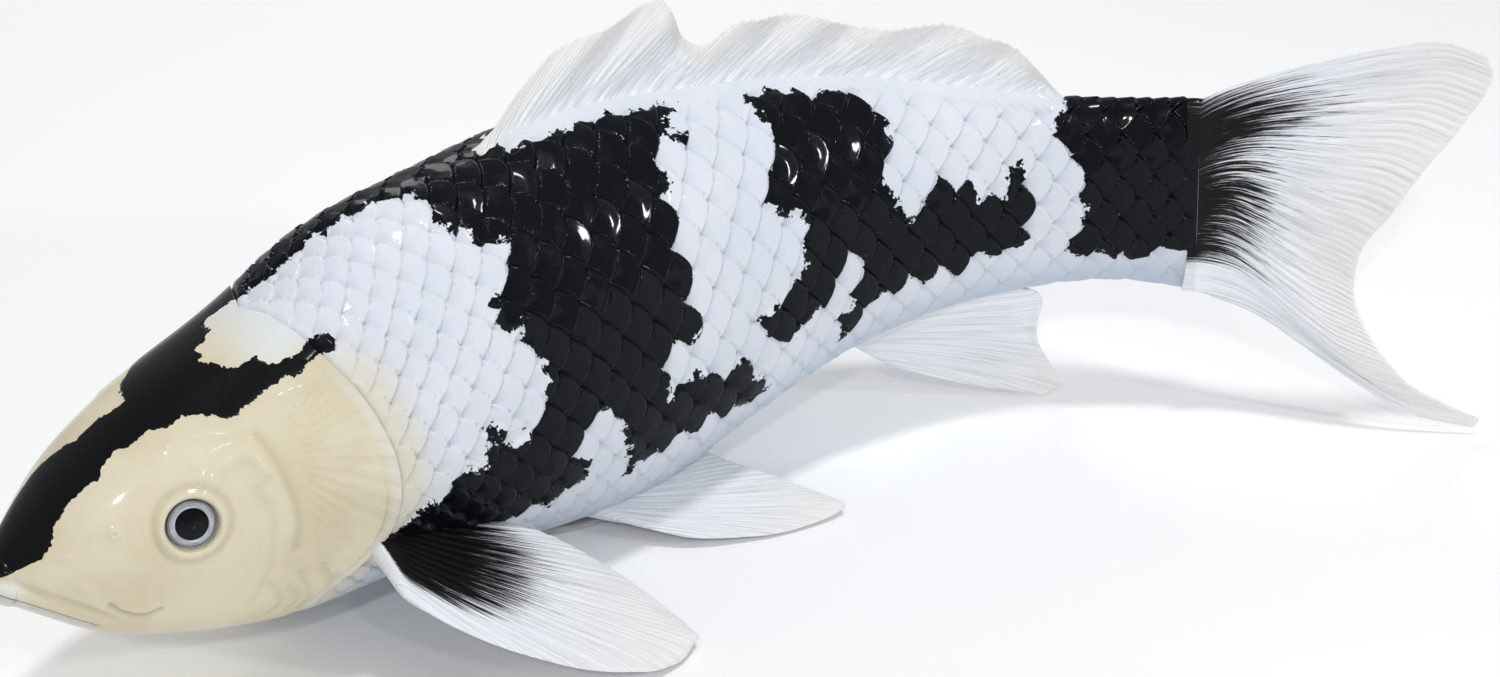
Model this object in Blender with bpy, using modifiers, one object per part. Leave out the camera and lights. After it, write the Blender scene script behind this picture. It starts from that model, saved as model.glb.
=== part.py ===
"""A moulded and painted koi ornament: shells, fins, glass eyes and the dowels that hold them together.

The fish swims towards -X with its left flank towards -Y, and rests on the pad under its belly at z = 0.
A share is a place along the spine: 0 at the snout and 1 at the base of the tail fin. An angle runs round the
body from 0 on the back, through 90 on the left flank, to 180 under the belly, and is negative on the right.
"""

import math

import bmesh
import bpy
import numpy as np
from mathutils import Matrix, Vector

# Overall sizes, in metres.
BODY_LENGTH = 0.300
BODY_HEIGHT = 0.0973
BODY_WIDTH = 0.0572

# The spine's heading in degrees, as it turns and climbs along the body.
HEADING_SHARES = (0, 0.2, 0.4, 0.6, 0.8, 1.0, 1.22)
TURN = (13, 8, 11.5, 0.5, -21.5, -48, -37)
CLIMB = (-1.5, 1, 4.5, 6.5, 2, 3.5, 7)

# The body's section: heights above and below the spine as shares of its height, and the flank as a share
# of half its width.
SECTION_SHARES = (0, 0.05, 0.10, 0.18, 0.26, 0.36, 0.48, 0.60, 0.72, 0.84, 0.94, 1.0)
BACK = (0.048, 0.181, 0.271, 0.370, 0.483, 0.519, 0.524, 0.457, 0.373, 0.283, 0.257, 0.262)
BELLY = (0.062, 0.188, 0.257, 0.323, 0.339, 0.411, 0.476, 0.398, 0.311, 0.249, 0.228, 0.251)
FLANK = (0.21, 0.57, 0.748, 0.888, 0.916, 1.0, 1.0, 0.885, 0.664, 0.42, 0.262, 0.157)
FULLNESS = 0.9
SNOUT_LENGTH = 0.0035

# Walls, gaps and joints between the shells.
WALL = 0.0025
GAP = 0.0003
FACET_ALLOWANCE = 0.0002
SLEEVE_WALL = 0.002
SLEEVE_AHEAD = 0.035
SLEEVE_BEHIND = 0.018
CAVITY_START = 0.060
DOWEL_RADIUS = 0.0008
LUG_RADIUS = 0.0025

# The head: its rear rim sweeps back over the gills.
RIM_ANGLES = (0, 45, 66, 84, 107, 129, 151, 180)
RIM_SHARES = (0.19, 0.219, 0.237, 0.246, 0.235, 0.195, 0.182, 0.176)
GILL_FLARE = 0.0010
JAW_LENGTH = 0.0155
MOUTH_FRONT = -0.0035
MOUTH_SLOPE = -35
EYE_SHARE = 0.102
EYE_ANGLE = 74
EYE_RADIUS = 0.0048
PUPIL_RADIUS = 0.0032
EYE_DEPTH = 0.0029
EYE_DOME = 0.0014
IRIS_THICKNESS = 0.0008

# Fins: each is a thin blade, thicker at its root.
ROOT_DEPTH = 0.007
BLADE = 0.0016
BLADE_EDGE = 0.0012
DORSAL_SHARES = (0.395, 0.413, 0.437, 0.475, 0.54, 0.567, 0.577, 0.582, 0.64, 0.70, 0.72, 0.813, 0.857, 0.89)
DORSAL_HEIGHTS = (0.0, 0.003, 0.008, 0.0142, 0.0196, 0.0221, 0.0218, 0.0178, 0.0162, 0.0158, 0.014, 0.0157, 0.0109, 0.0)
DORSAL_PIN_SHARES = (0.47, 0.80)
PIN_DEPTH = 0.0043
ANAL_ROOT = (0.70, 0.86)
ANAL_LEADING = ((0, 0.0, 0.0), (0.35, 0.016, 0.015), (0.6, 0.032, 0.0244), (1, 0.0535, 0.0325))
ANAL_TRAILING = ((0, 0.0, 0.0), (0.3, 0.005, 0.006), (0.5, 0.0035, 0.014), (0.75, 0.006, 0.021), (1, 0.0105, 0.0285))
ANAL_PIN_SHARE = 0.78
CAUDAL_LENGTH = 0.067
CAUDAL_UPPER = ((0, 0.0), (0.05, 0.0018), (0.25, 0.0069), (0.45, 0.0103), (0.66, 0.0128), (0.85, 0.0134), (1, 0.009))
CAUDAL_LOWER = ((0, 0.0), (0.07, 0.0018), (0.22, 0.0062), (0.38, 0.0142), (0.59, 0.0257), (0.75, 0.0335), (1, 0.0394))
CAUDAL_FORK = (
    (0, 0.98), (0.04, 1.0), (0.17, 0.90), (0.29, 0.755), (0.40, 0.65), (0.46, 0.585), (0.555, 0.55),
    (0.62, 0.552), (0.70, 0.593), (0.77, 0.652), (0.875, 0.776), (0.94, 0.91), (0.98, 0.99), (1, 0.97),
)
CAUDAL_TAB = 0.014
CAUDAL_PIN_SHARE = 0.975
CAUDAL_PIN_HEIGHT = 0.010

# Paired fins: where the root's front lies, which way the blade points (back, out, up) and faces, its outline
# as distances along the blade and the two edges' distances across it, and its dowel.
PECTORAL = dict(
    share=0.235, angle=114, points=(0.74, 0.51, -0.44), faces=(0.23, 0.43, 0.88), root=0.0042,
    outline=(
        (-0.006, 0.001, 0.012), (0.0, -0.006, 0.0145), (0.004, -0.0113, 0.0155), (0.011, -0.0146, 0.0162),
        (0.024, -0.0176, 0.0170), (0.035, -0.0181, 0.0174), (0.045, -0.0172, 0.0145),
        (0.054, -0.0142, 0.0102), (0.0625, -0.0098, 0.0056), (0.067, -0.0050, 0.0028), (0.0687, -0.0012, 0.0010),
    ),
    pin_share=0.285, pin_angle=119, bow=0.0020,
)
PELVIC = dict(
    share=0.44, angle=152, points=(0.84, 0.52, -0.17), faces=(0.01, 0.31, 0.95), root=0.0036,
    outline=(
        (-0.006, -0.001, 0.006), (0.0, -0.003, 0.009), (0.003, -0.0041, 0.011), (0.011, -0.0072, 0.015),
        (0.0174, -0.009, 0.0174), (0.024, -0.0093, 0.0176), (0.029, -0.009, 0.0148),
        (0.037, -0.0081, 0.0106), (0.046, -0.0054, 0.0056), (0.052, -0.0028, 0.0024), (0.055, -0.0008, 0.0008),
    ),
    pin_share=0.465, pin_angle=152, bow=0.0012,
)
ROOT_TAPER = 0.026
PIN_LENGTH = 0.008

# The rest pad under the belly, and two dowels across the seam between the body's halves.
PAD_LENGTH = 0.034
PAD_WIDTH = 0.018
PAD_THICKNESS = 0.0015
PAD_SHARE = 0.463
SEAM_DOWELS = (("seam_dowel_front", 0.36, -0.7), ("seam_dowel_rear", 0.64, -0.5))
SEAM_DOWEL_HALF = 0.006

# How finely the curved surfaces are cut.
ROUND = 32
HALF_ROUND = ROUND // 2 + 1
HEAD_RINGS = 13
BODY_RINGS = 26
STEPS = 600
SPINE_END = 1.3
RING_ANGLES = np.linspace(0, 360, ROUND, endpoint=False)

COLOURS = {
    "cream": ((0.66, 0.62, 0.48, 1), 0.22, 0.0, 0.0),
    "white": ((0.72, 0.74, 0.80, 1), 0.18, 0.0, 0.0),
    "fin": ((0.80, 0.81, 0.84, 1), 0.30, 0.0, 0.0),
    "iris": ((0.55, 0.57, 0.62, 1), 0.25, 0.6, 0.0),
    "pupil": ((0.005, 0.005, 0.006, 1), 0.10, 0.0, 0.0),
    "glass": ((0.95, 0.97, 1.0, 1), 0.02, 0.0, 1.0),
    "steel": ((0.60, 0.60, 0.62, 1), 0.30, 1.0, 0.0),
    "resin": ((0.55, 0.53, 0.48, 1), 0.55, 0.0, 0.0),
    "felt": ((0.05, 0.05, 0.055, 1), 0.95, 0.0, 0.0),
}


def smooth(at, places, values):
    """A cubic through the given values that never leaves their ends."""
    places = np.asarray(places, float)
    values = np.asarray(values, float)
    step = np.diff(places)
    rise = np.diff(values) / step
    inner = (rise[:-1] * step[1:] + rise[1:] * step[:-1]) / (step[:-1] + step[1:])
    slope = np.concatenate([rise[:1], inner, rise[-1:]])
    at = np.clip(at, places[0], places[-1])
    i = np.clip(np.searchsorted(places, at, side="right") - 1, 0, len(step) - 1)
    t = (at - places[i]) / step[i]
    start = (1 + 2 * t) * (1 - t) ** 2 * values[i] + t * (1 - t) ** 2 * step[i] * slope[i]
    end = t * t * (3 - 2 * t) * values[i + 1] + t * t * (t - 1) * step[i] * slope[i + 1]
    return start + end


def headings(share):
    """Unit vectors along, to the right of and above the spine."""
    turn = np.radians(np.interp(share, HEADING_SHARES, TURN))
    climb = np.radians(np.interp(share, HEADING_SHARES, CLIMB))
    along = np.stack([np.cos(turn) * np.cos(climb), np.sin(turn) * np.cos(climb), np.sin(climb)], -1)
    side = np.stack([-np.sin(turn), np.cos(turn), 0 * turn], -1)
    return along, side, np.cross(along, side)


SPINE_SHARES = np.linspace(0, SPINE_END, STEPS)
SPINE_STEPS = headings((SPINE_SHARES[1:] + SPINE_SHARES[:-1]) / 2)[0] * (SPINE_SHARES[1] * BODY_LENGTH)
SPINE_POINTS = np.concatenate([np.zeros((1, 3)), np.cumsum(SPINE_STEPS, axis=0)])


def place(share, right, up):
    """A point beside and above the spine, before the fish is set on its pad."""
    share, right, up = np.broadcast_arrays(np.asarray(share, float), right, up)
    along, side, above = headings(share)
    centre = np.stack([np.interp(share, SPINE_SHARES, SPINE_POINTS[:, k]) for k in range(3)], -1)
    beyond = np.minimum(share, 0)[..., None] * BODY_LENGTH * along
    return centre + beyond + side * right[..., None] + above * up[..., None]


def section(share, angle, inset=0.0, seam=0.0):
    """How far right of and above the spine the skin lies, moved in by the inset."""
    angle = np.radians(angle)
    back = BODY_HEIGHT * smooth(share, SECTION_SHARES, BACK) - inset
    belly = BODY_HEIGHT * smooth(share, SECTION_SHARES, BELLY) - inset
    flank = BODY_WIDTH / 2 * smooth(share, SECTION_SHARES, FLANK) - inset
    reach = np.sign(np.sin(angle)) * np.abs(np.sin(angle)) ** FULLNESS
    up = np.cos(angle) * np.where(np.cos(angle) > 0, back, belly)
    return -(np.sign(seam) if seam else 1) * (abs(seam) + (flank - abs(seam)) * reach), up


def body_low():
    share, angle = np.meshgrid(np.linspace(0.2, 0.8, 121), np.linspace(150, 180, 31))
    points = place(share, *section(share, angle)).reshape(-1, 3)
    return points[points[:, 2].argmin()]


PAD_CENTRE = place(PAD_SHARE, 0.0, 0.0)
LIFT = np.array([-PAD_CENTRE[0], -PAD_CENTRE[1], PAD_THICKNESS + GAP - body_low()[2]])


def at(share, right, up):
    return place(share, right, up) + LIFT


def skin(share, angle, inset=0.0, seam=0.0):
    right, up = section(share, angle, inset, seam)
    return at(share, right, up)


def rim(angle):
    """The share at which the head ends."""
    return smooth(np.abs((np.asarray(angle, float) + 180) % 360 - 180), RIM_ANGLES, RIM_SHARES)


def flare(share, angle):
    """How proud of the body the gill covers stand, up to the rim."""
    end = rim(angle)
    rise = np.clip((share / end - 0.72) / 0.28, 0, 1) ** 2
    return GILL_FLARE * rise * np.sin(np.radians(angle)) ** 2 * (share < end + 0.004)


def clear_scene():
    for obj in list(bpy.data.objects):
        bpy.data.objects.remove(obj, do_unlink=True)
    for collection in list(bpy.data.collections):
        bpy.data.collections.remove(collection)


def collection(name):
    made = bpy.data.collections.new(name)
    bpy.context.scene.collection.children.link(made)
    return made


def material(name):
    colour, roughness, metallic, transmission = COLOURS[name]
    made = bpy.data.materials.get(name) or bpy.data.materials.new(name)
    made.use_nodes = True
    shader = made.node_tree.nodes["Principled BSDF"]
    shader.inputs["Base Color"].default_value = colour
    shader.inputs["Roughness"].default_value = roughness
    shader.inputs["Metallic"].default_value = metallic
    shader.inputs["Transmission Weight"].default_value = transmission
    made.diffuse_color = colour
    return made


def add(name, bm, finish):
    """An object from a bmesh: a part with a material, or a cutter when there is none."""
    mesh = bpy.data.meshes.new(name)
    bmesh.ops.recalc_face_normals(bm, faces=bm.faces)
    bm.to_mesh(mesh)
    bm.free()
    obj = bpy.data.objects.new(name, mesh)
    if finish:
        PARTS.objects.link(obj)
        mesh.materials.append(material(finish))
        mesh.shade_smooth()
        mesh.set_sharp_from_angle(angle=math.radians(40))
    else:
        CUTTERS.objects.link(obj)
        obj.hide_render = True
        obj.display_type = "WIRE"
    return obj


def loft(name, rings, finish=None, ends="caps"):
    """A solid through closed rings of equal counts: flat caps, strips across C-shaped rings, or a joined loop."""
    rings = np.asarray(rings)
    count, around = rings.shape[:2]
    bm = bmesh.new()
    verts = [[bm.verts.new(point) for point in ring] for ring in rings]
    for i in range(count if ends == "loop" else count - 1):
        first, second = verts[i], verts[(i + 1) % count]
        for j in range(around):
            k = (j + 1) % around
            bm.faces.new((first[j], first[k], second[k], second[j]))
    if ends == "caps":
        bm.faces.new(verts[0])
        bm.faces.new(verts[-1])
    elif ends == "strips":
        for ring in (verts[0], verts[-1]):
            for j in range(around // 2 - 1):
                bm.faces.new((ring[j], ring[j + 1], ring[-2 - j], ring[-1 - j]))
    return add(name, bm, finish)


def boolean(obj, other, operation="DIFFERENCE"):
    cut = obj.modifiers.new(operation.title() + " " + other.name, "BOOLEAN")
    cut.operation = operation
    cut.object = other
    cut.solver = "EXACT"


def rod(name, start, end, radius, finish=None, sides=16):
    """A cylinder between two points."""
    start, end = Vector(start), Vector(end)
    direction = end - start
    bm = bmesh.new()
    turn = direction.to_track_quat("Z", "Y").to_matrix().to_4x4()
    bmesh.ops.create_cone(
        bm, cap_ends=True, segments=sides, radius1=radius, radius2=radius, depth=direction.length,
        matrix=Matrix.Translation((start + end) / 2) @ turn,
    )
    return add(name, bm, finish)


def blade(name, rows, weights, root, edge, finish=None):
    """A sheet through rows of points, thickened: full where the weight is 1, and edge where it is 0."""
    bm = bmesh.new()
    verts = [[bm.verts.new(point) for point in row] for row in rows]
    for first, second in zip(verts, verts[1:]):
        for j in range(len(first) - 1):
            bm.faces.new((first[j], first[j + 1], second[j + 1], second[j]))
    obj = add(name, bm, finish)
    group = obj.vertex_groups.new(name="root")
    for i, weight in enumerate(np.asarray(weights).ravel()):
        group.add([i], float(weight), "REPLACE")
    solid = obj.modifiers.new("Thickness", "SOLIDIFY")
    solid.thickness = root
    solid.offset = 0
    solid.vertex_group = group.name
    solid.thickness_vertex_group = edge / root
    return obj


def head_rings(inset, ahead, count):
    """Rings round the head from its front to its rim, moved in by the inset."""
    rings = []
    for q in np.linspace(0, 1, count):
        shares = ahead + (rim(RING_ANGLES) - ahead) * q
        rings.append(skin(shares, RING_ANGLES, inset - flare(shares, RING_ANGLES)))
    return rings


def snout_rings(grow=0.0):
    """Rings that round off the snout ahead of the spine's start."""
    right, up = section(0.0, RING_ANGLES, -grow)
    rings = []
    for turn in np.radians((12, 35, 62)):
        share = -(SNOUT_LENGTH + grow) / BODY_LENGTH * math.cos(turn)
        rings.append(at(share, right * math.sin(turn), up * math.sin(turn)))
    return rings


def jaw_block(name, grow):
    """The wedge of the snout under the mouth line, that the lower jaw fills."""
    bm = bmesh.new()
    bmesh.ops.create_cube(bm, size=1.0)
    size = 0.04
    length = JAW_LENGTH + SNOUT_LENGTH + 0.004
    for vert in bm.verts:
        vert.co.x = (vert.co.x + 0.5) * (length + 2 * grow) - SNOUT_LENGTH - 0.004 - grow
        vert.co.y *= size
        vert.co.z = (vert.co.z - 0.5) * size + grow
    along, side, above = (Vector(v) for v in headings(0.0))
    frame = Matrix((along, side, above)).transposed().to_4x4()
    turn = Matrix.Rotation(math.radians(-MOUTH_SLOPE), 4, "Y")
    origin = Matrix.Translation(Vector(at(0.0, 0.0, MOUTH_FRONT)))
    for vert in bm.verts:
        vert.co = origin @ frame @ turn @ vert.co
    return add(name, bm, None)


def eye_axis(side):
    """The point of the skin at the eye's centre, and the way it faces."""
    centre = skin(EYE_SHARE, side * EYE_ANGLE)
    ahead = skin(EYE_SHARE + 0.02, side * EYE_ANGLE) - skin(EYE_SHARE - 0.02, side * EYE_ANGLE)
    round_ = skin(EYE_SHARE, side * EYE_ANGLE + 8) - skin(EYE_SHARE, side * EYE_ANGLE - 8)
    out = np.cross(ahead, round_)
    out /= np.linalg.norm(out)
    right = headings(EYE_SHARE)[1]
    return centre, out * np.sign(-side * (out @ right))


def turned(name, profile, centre, out, finish, ends="caps"):
    """A solid of revolution from (radius, height) points, standing on the skin along the outward axis."""
    rings = []
    frame = Vector(out).to_track_quat("Z", "Y").to_matrix()
    for radius, height in profile:
        angles = np.linspace(0, 2 * math.pi, 24, endpoint=False)
        ring = [
            Vector(centre) + frame @ Vector((radius * math.cos(a), radius * math.sin(a), height)) for a in angles
        ]
        rings.append(ring)
    return loft(name, rings, finish, ends)


def dome(radius, base, rise):
    """A lens: flat below and rounded above."""
    turns = np.radians((90, 72, 54, 36, 18, 5))
    return [(radius * math.sin(turn), base + rise * math.cos(turn)) for turn in turns]


def make_head():
    outside = snout_rings() + head_rings(0.0, 0.0, HEAD_RINGS)
    inside = head_rings(WALL, CAVITY_START, HEAD_RINGS - 3)
    shell = loft("head_shell", outside + inside[::-1], "cream")
    head = loft("head_form", outside)
    core = loft("head_core", head_rings(WALL / 2, 0.01, HEAD_RINGS))
    for side, word in ((1, "left"), (-1, "right")):
        centre, out = eye_axis(side)
        seat = rod("eye_seat_" + word, centre + out * 0.001, centre - out * (EYE_DEPTH + WALL), EYE_RADIUS + WALL, sides=24)
        boolean(seat, core, "INTERSECT")
        boolean(shell, seat, "UNION")
        socket = rod("eye_socket_" + word, centre + out * 0.01, centre - out * EYE_DEPTH, EYE_RADIUS + GAP, sides=24)
        boolean(shell, socket)
        make_eye(word, centre, out)
    boolean(shell, jaw_block("jaw_room", GAP))
    jaw = jaw_block("lower_jaw", 0.0)
    CUTTERS.objects.unlink(jaw)
    PARTS.objects.link(jaw)
    jaw.hide_render = False
    jaw.display_type = "TEXTURED"
    jaw.data.materials.append(material("white"))
    boolean(jaw, head, "INTERSECT")


def make_eye(word, centre, out):
    floor = -EYE_DEPTH + GAP
    top = floor + IRIS_THICKNESS
    iris = [
        (PUPIL_RADIUS + GAP, floor), (EYE_RADIUS, floor), (EYE_RADIUS, top), (PUPIL_RADIUS + GAP, top),
    ]
    turned("iris_" + word, iris, centre, out, "iris", "loop")
    turned("pupil_" + word, [(PUPIL_RADIUS, floor), (PUPIL_RADIUS, top)], centre, out, "pupil")
    base = top + GAP
    lens = [(EYE_RADIUS, base), *dome(EYE_RADIUS, -0.0006, EYE_DOME + 0.0006)]
    turned("cornea_" + word, lens, centre, out, "glass")


def make_sleeve():
    """The ring inside the joint between head and body, glued to both."""
    front, back = rim(RING_ANGLES) - SLEEVE_AHEAD, rim(RING_ANGLES) + SLEEVE_BEHIND
    outer, inner = WALL + GAP, WALL + GAP + SLEEVE_WALL
    path = [(front, outer), ((front + back) / 2, outer), (back, outer)]
    path += [(share, inner) for share, _ in path[::-1]]
    rings = [skin(share, RING_ANGLES, inset) for share, inset in path]
    return loft("neck_sleeve", rings, "resin", "loop")


def half_rings(side):
    """C-shaped rings of one half of the body, from the head's rim to the tail."""
    angles = np.linspace(0, 180, HALF_ROUND)
    start = rim(angles) + GAP / BODY_LENGTH
    rings = []
    for q in np.linspace(0, 1, BODY_RINGS):
        shares = start + (1 - start) * q
        outer = skin(shares, angles, 0.0, side * GAP / 2)
        inner = skin(shares, angles, WALL, side * GAP / 2)
        rings.append(np.concatenate([outer, inner[::-1]]))
    return rings


def full_rings(inset, start, end, count):
    return [skin(share, RING_ANGLES, inset) for share in np.linspace(start, end, count)]


def lug(half, core, side, name, share, up, reach):
    """A boss from the seam out into one half's wall, round a dowel across the seam."""
    start = at(share, -side * GAP, up)
    end = at(share, -side * reach, up)
    made = rod(name, start, end, LUG_RADIUS)
    boolean(made, core, "INTERSECT")
    boolean(half, made, "UNION")


def cross_reach(share, up):
    """Half the length of a dowel across the seam whose hole ends inside both walls."""
    edge = BODY_HEIGHT * smooth(share, SECTION_SHARES, BACK if up > 0 else BELLY)
    angle = math.degrees(math.acos((abs(up) + DOWEL_RADIUS + GAP) / edge))
    return float(abs(section(share, angle)[0])) - WALL


def dorsal_rows(grow=0.0, blade_top=True):
    """Rows of points up the dorsal fin, from the foot of its root to its edge."""
    first, last = DORSAL_SHARES[0], DORSAL_SHARES[-1]
    shares = np.linspace(first - grow / BODY_LENGTH, last + grow / BODY_LENGTH, 30)
    back = BODY_HEIGHT * smooth(shares, SECTION_SHARES, BACK)
    height = smooth(shares, DORSAL_SHARES, DORSAL_HEIGHTS) if blade_top else np.full_like(shares, 0.004)
    foot = -ROOT_DEPTH - grow
    return [at(shares, 0.0, back + foot + (height - foot) * row) for row in np.linspace(0, 1, 5)]


def anal_rows(grow=0.0, blade_end=True):
    """Rows of points down the anal fin, from the top of its root to its tip."""
    first, last = ANAL_ROOT[0] - grow / BODY_LENGTH, ANAL_ROOT[1] + grow / BODY_LENGTH
    share = np.linspace(0, 1, 12)
    rows = []
    for up in (ROOT_DEPTH + grow, ROOT_DEPTH / 2):
        shares = first + (last - first) * share
        rows.append(at(shares, 0.0, up - BODY_HEIGHT * smooth(shares, SECTION_SHARES, BELLY)))
    ends = np.linspace(0, 1, 7) if blade_end else np.array([0.0, 0.12])
    leading, trailing = np.array(ANAL_LEADING).T, np.array(ANAL_TRAILING).T
    for row in ends:
        fore = first + smooth(row, leading[0], leading[1]) / BODY_LENGTH
        aft = last + smooth(row, trailing[0], trailing[1]) / BODY_LENGTH
        shares = fore + (aft - fore) * share
        down_fore, down_aft = smooth(row, leading[0], leading[2]), smooth(row, trailing[0], trailing[2])
        down = down_fore + (down_aft - down_fore) * share
        rows.append(at(shares, 0.0, -down - BODY_HEIGHT * smooth(shares, SECTION_SHARES, BELLY)))
    return rows


def caudal_rows():
    """Rows of points back along the tail fin, from its root at the end of the body to its forked edge."""
    fork, upper, lower = (np.array(table).T for table in (CAUDAL_FORK, CAUDAL_UPPER, CAUDAL_LOWER))
    across = np.linspace(0, 1, 25)
    start = 1.0 + GAP / BODY_LENGTH
    rows = []
    for row in np.linspace(0, 1, 10):
        reach = CAUDAL_LENGTH * row * smooth(across, fork[0], fork[1])
        top = BODY_HEIGHT * BACK[-1] - WALL / 4 + smooth(row, upper[0], upper[1])
        bottom = -BODY_HEIGHT * BELLY[-1] + WALL / 4 - smooth(row, lower[0], lower[1])
        rows.append(at(start + reach / BODY_LENGTH, 0.0, top + (bottom - top) * across))
    return rows


def tail_tab_half():
    """Half the thickness and the two heights of the tab that slides into the open end of the tail."""
    thick = 0.45 * (BODY_WIDTH / 2 * FLANK[-1] - WALL)
    return thick, 0.76 * (BODY_HEIGHT * BACK[-1] - WALL), 0.76 * (BODY_HEIGHT * BELLY[-1] - WALL)


def make_caudal():
    rows = caudal_rows()
    weights = [[1 - i / (len(rows) - 1)] * len(row) for i, row in enumerate(rows)]
    thick, above, below = tail_tab_half()
    fin = blade("caudal_fin", rows, weights, 2 * (thick + GAP), BLADE_EDGE, "fin")
    rings = []
    for share in np.linspace(1 - CAUDAL_TAB / BODY_LENGTH, 1 + 3 * GAP / BODY_LENGTH, 4):
        corners = ((-thick, above), (thick, above), (thick, -below), (-thick, -below))
        rings.append([at(share, right, up) for right, up in corners])
    boolean(fin, loft("caudal_tab", rings), "UNION")
    return fin


def paired_frame(fin, side):
    """The root's front on the skin, and unit vectors along, across and out of the blade."""
    along, right, above = headings(fin["share"])
    frame = np.array([along, -side * right, above])
    points = np.array(fin["points"]) @ frame
    points /= np.linalg.norm(points)
    faces = np.array(fin["faces"]) @ frame
    faces -= points * (faces @ points)
    faces /= np.linalg.norm(faces)
    across = np.cross(faces, points) * side
    return skin(fin["share"], side * fin["angle"]), points, across, faces


def make_paired(name, word, fin, side, envelope, half, core):
    """A pectoral or pelvic fin: a bowed blade cut to the skin, and the dowel that pins it to the shell."""
    root, points, across, faces = paired_frame(fin, side)
    outline = np.array(fin["outline"]).T
    rows, weights = [], []
    for far in np.concatenate([np.linspace(outline[0][0], 0.9 * outline[0][-1], 12), outline[0][-2:]]):
        lead, trail = (smooth(far, outline[0], edge) for edge in outline[1:])
        spread = np.linspace(0, 1, 9)
        bow = fin["bow"] * (1 - (2 * spread - 1) ** 2) * np.clip(far / outline[0][-1], 0, 1)
        row = root + points * far + np.outer(lead + (trail - lead) * spread, across) + np.outer(bow, faces)
        rows.append(row)
        weights.append([float(np.clip(1 - (far - 0.006) / ROOT_TAPER, 0, 1))] * len(spread))
    made = blade(f"{name}_fin_{word}", rows, weights, fin["root"], BLADE_EDGE, "fin")
    boolean(made, envelope)
    seat = skin(fin["pin_share"], side * fin["pin_angle"])
    seat = seat - faces * ((seat - root) @ faces)
    inner, outer = seat - points * PIN_LENGTH, seat + points * PIN_LENGTH
    boss = rod(f"{name}_boss_{word}", seat, inner - points * (GAP + DOWEL_RADIUS), LUG_RADIUS)
    boolean(boss, core, "INTERSECT")
    boolean(half, boss, "UNION")
    hole = rod(f"{name}_hole_{word}", inner - points * GAP, outer + points * GAP, DOWEL_RADIUS + GAP)
    boolean(half, hole)
    boolean(made, hole)
    rod(f"{name}_pin_{word}", inner, outer, DOWEL_RADIUS, "steel", sides=12)


def make_cross_dowel(name, share, up, reach, others):
    """A dowel across the seam, and its hole through everything it joins."""
    ends = [at(share, right, up) for right in (-reach, reach)]
    rod(name, *ends, DOWEL_RADIUS, "steel", sides=12)
    hole_ends = [at(share, right, up) for right in (-reach - GAP, reach + GAP)]
    hole = rod(name + "_hole", *hole_ends, DOWEL_RADIUS + GAP)
    for other in others:
        boolean(other, hole)


def make_pad(envelope):
    """The felt pad under the belly, flat below and hollowed to the belly above."""
    angles = np.linspace(0, 2 * math.pi, ROUND, endpoint=False)
    turn = math.radians(float(np.interp(PAD_SHARE, HEADING_SHARES, TURN)))
    rings = []
    for height in (0.0, PAD_THICKNESS + 0.004):
        x = PAD_LENGTH / 2 * np.cos(angles)
        y = PAD_WIDTH / 2 * np.sin(angles)
        spin = (x * math.cos(turn) - y * math.sin(turn), x * math.sin(turn) + y * math.cos(turn))
        rings.append(np.stack([*spin, np.full(ROUND, height)], -1))
    pad = loft("belly_pad", rings, "felt")
    boolean(pad, envelope)


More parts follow.
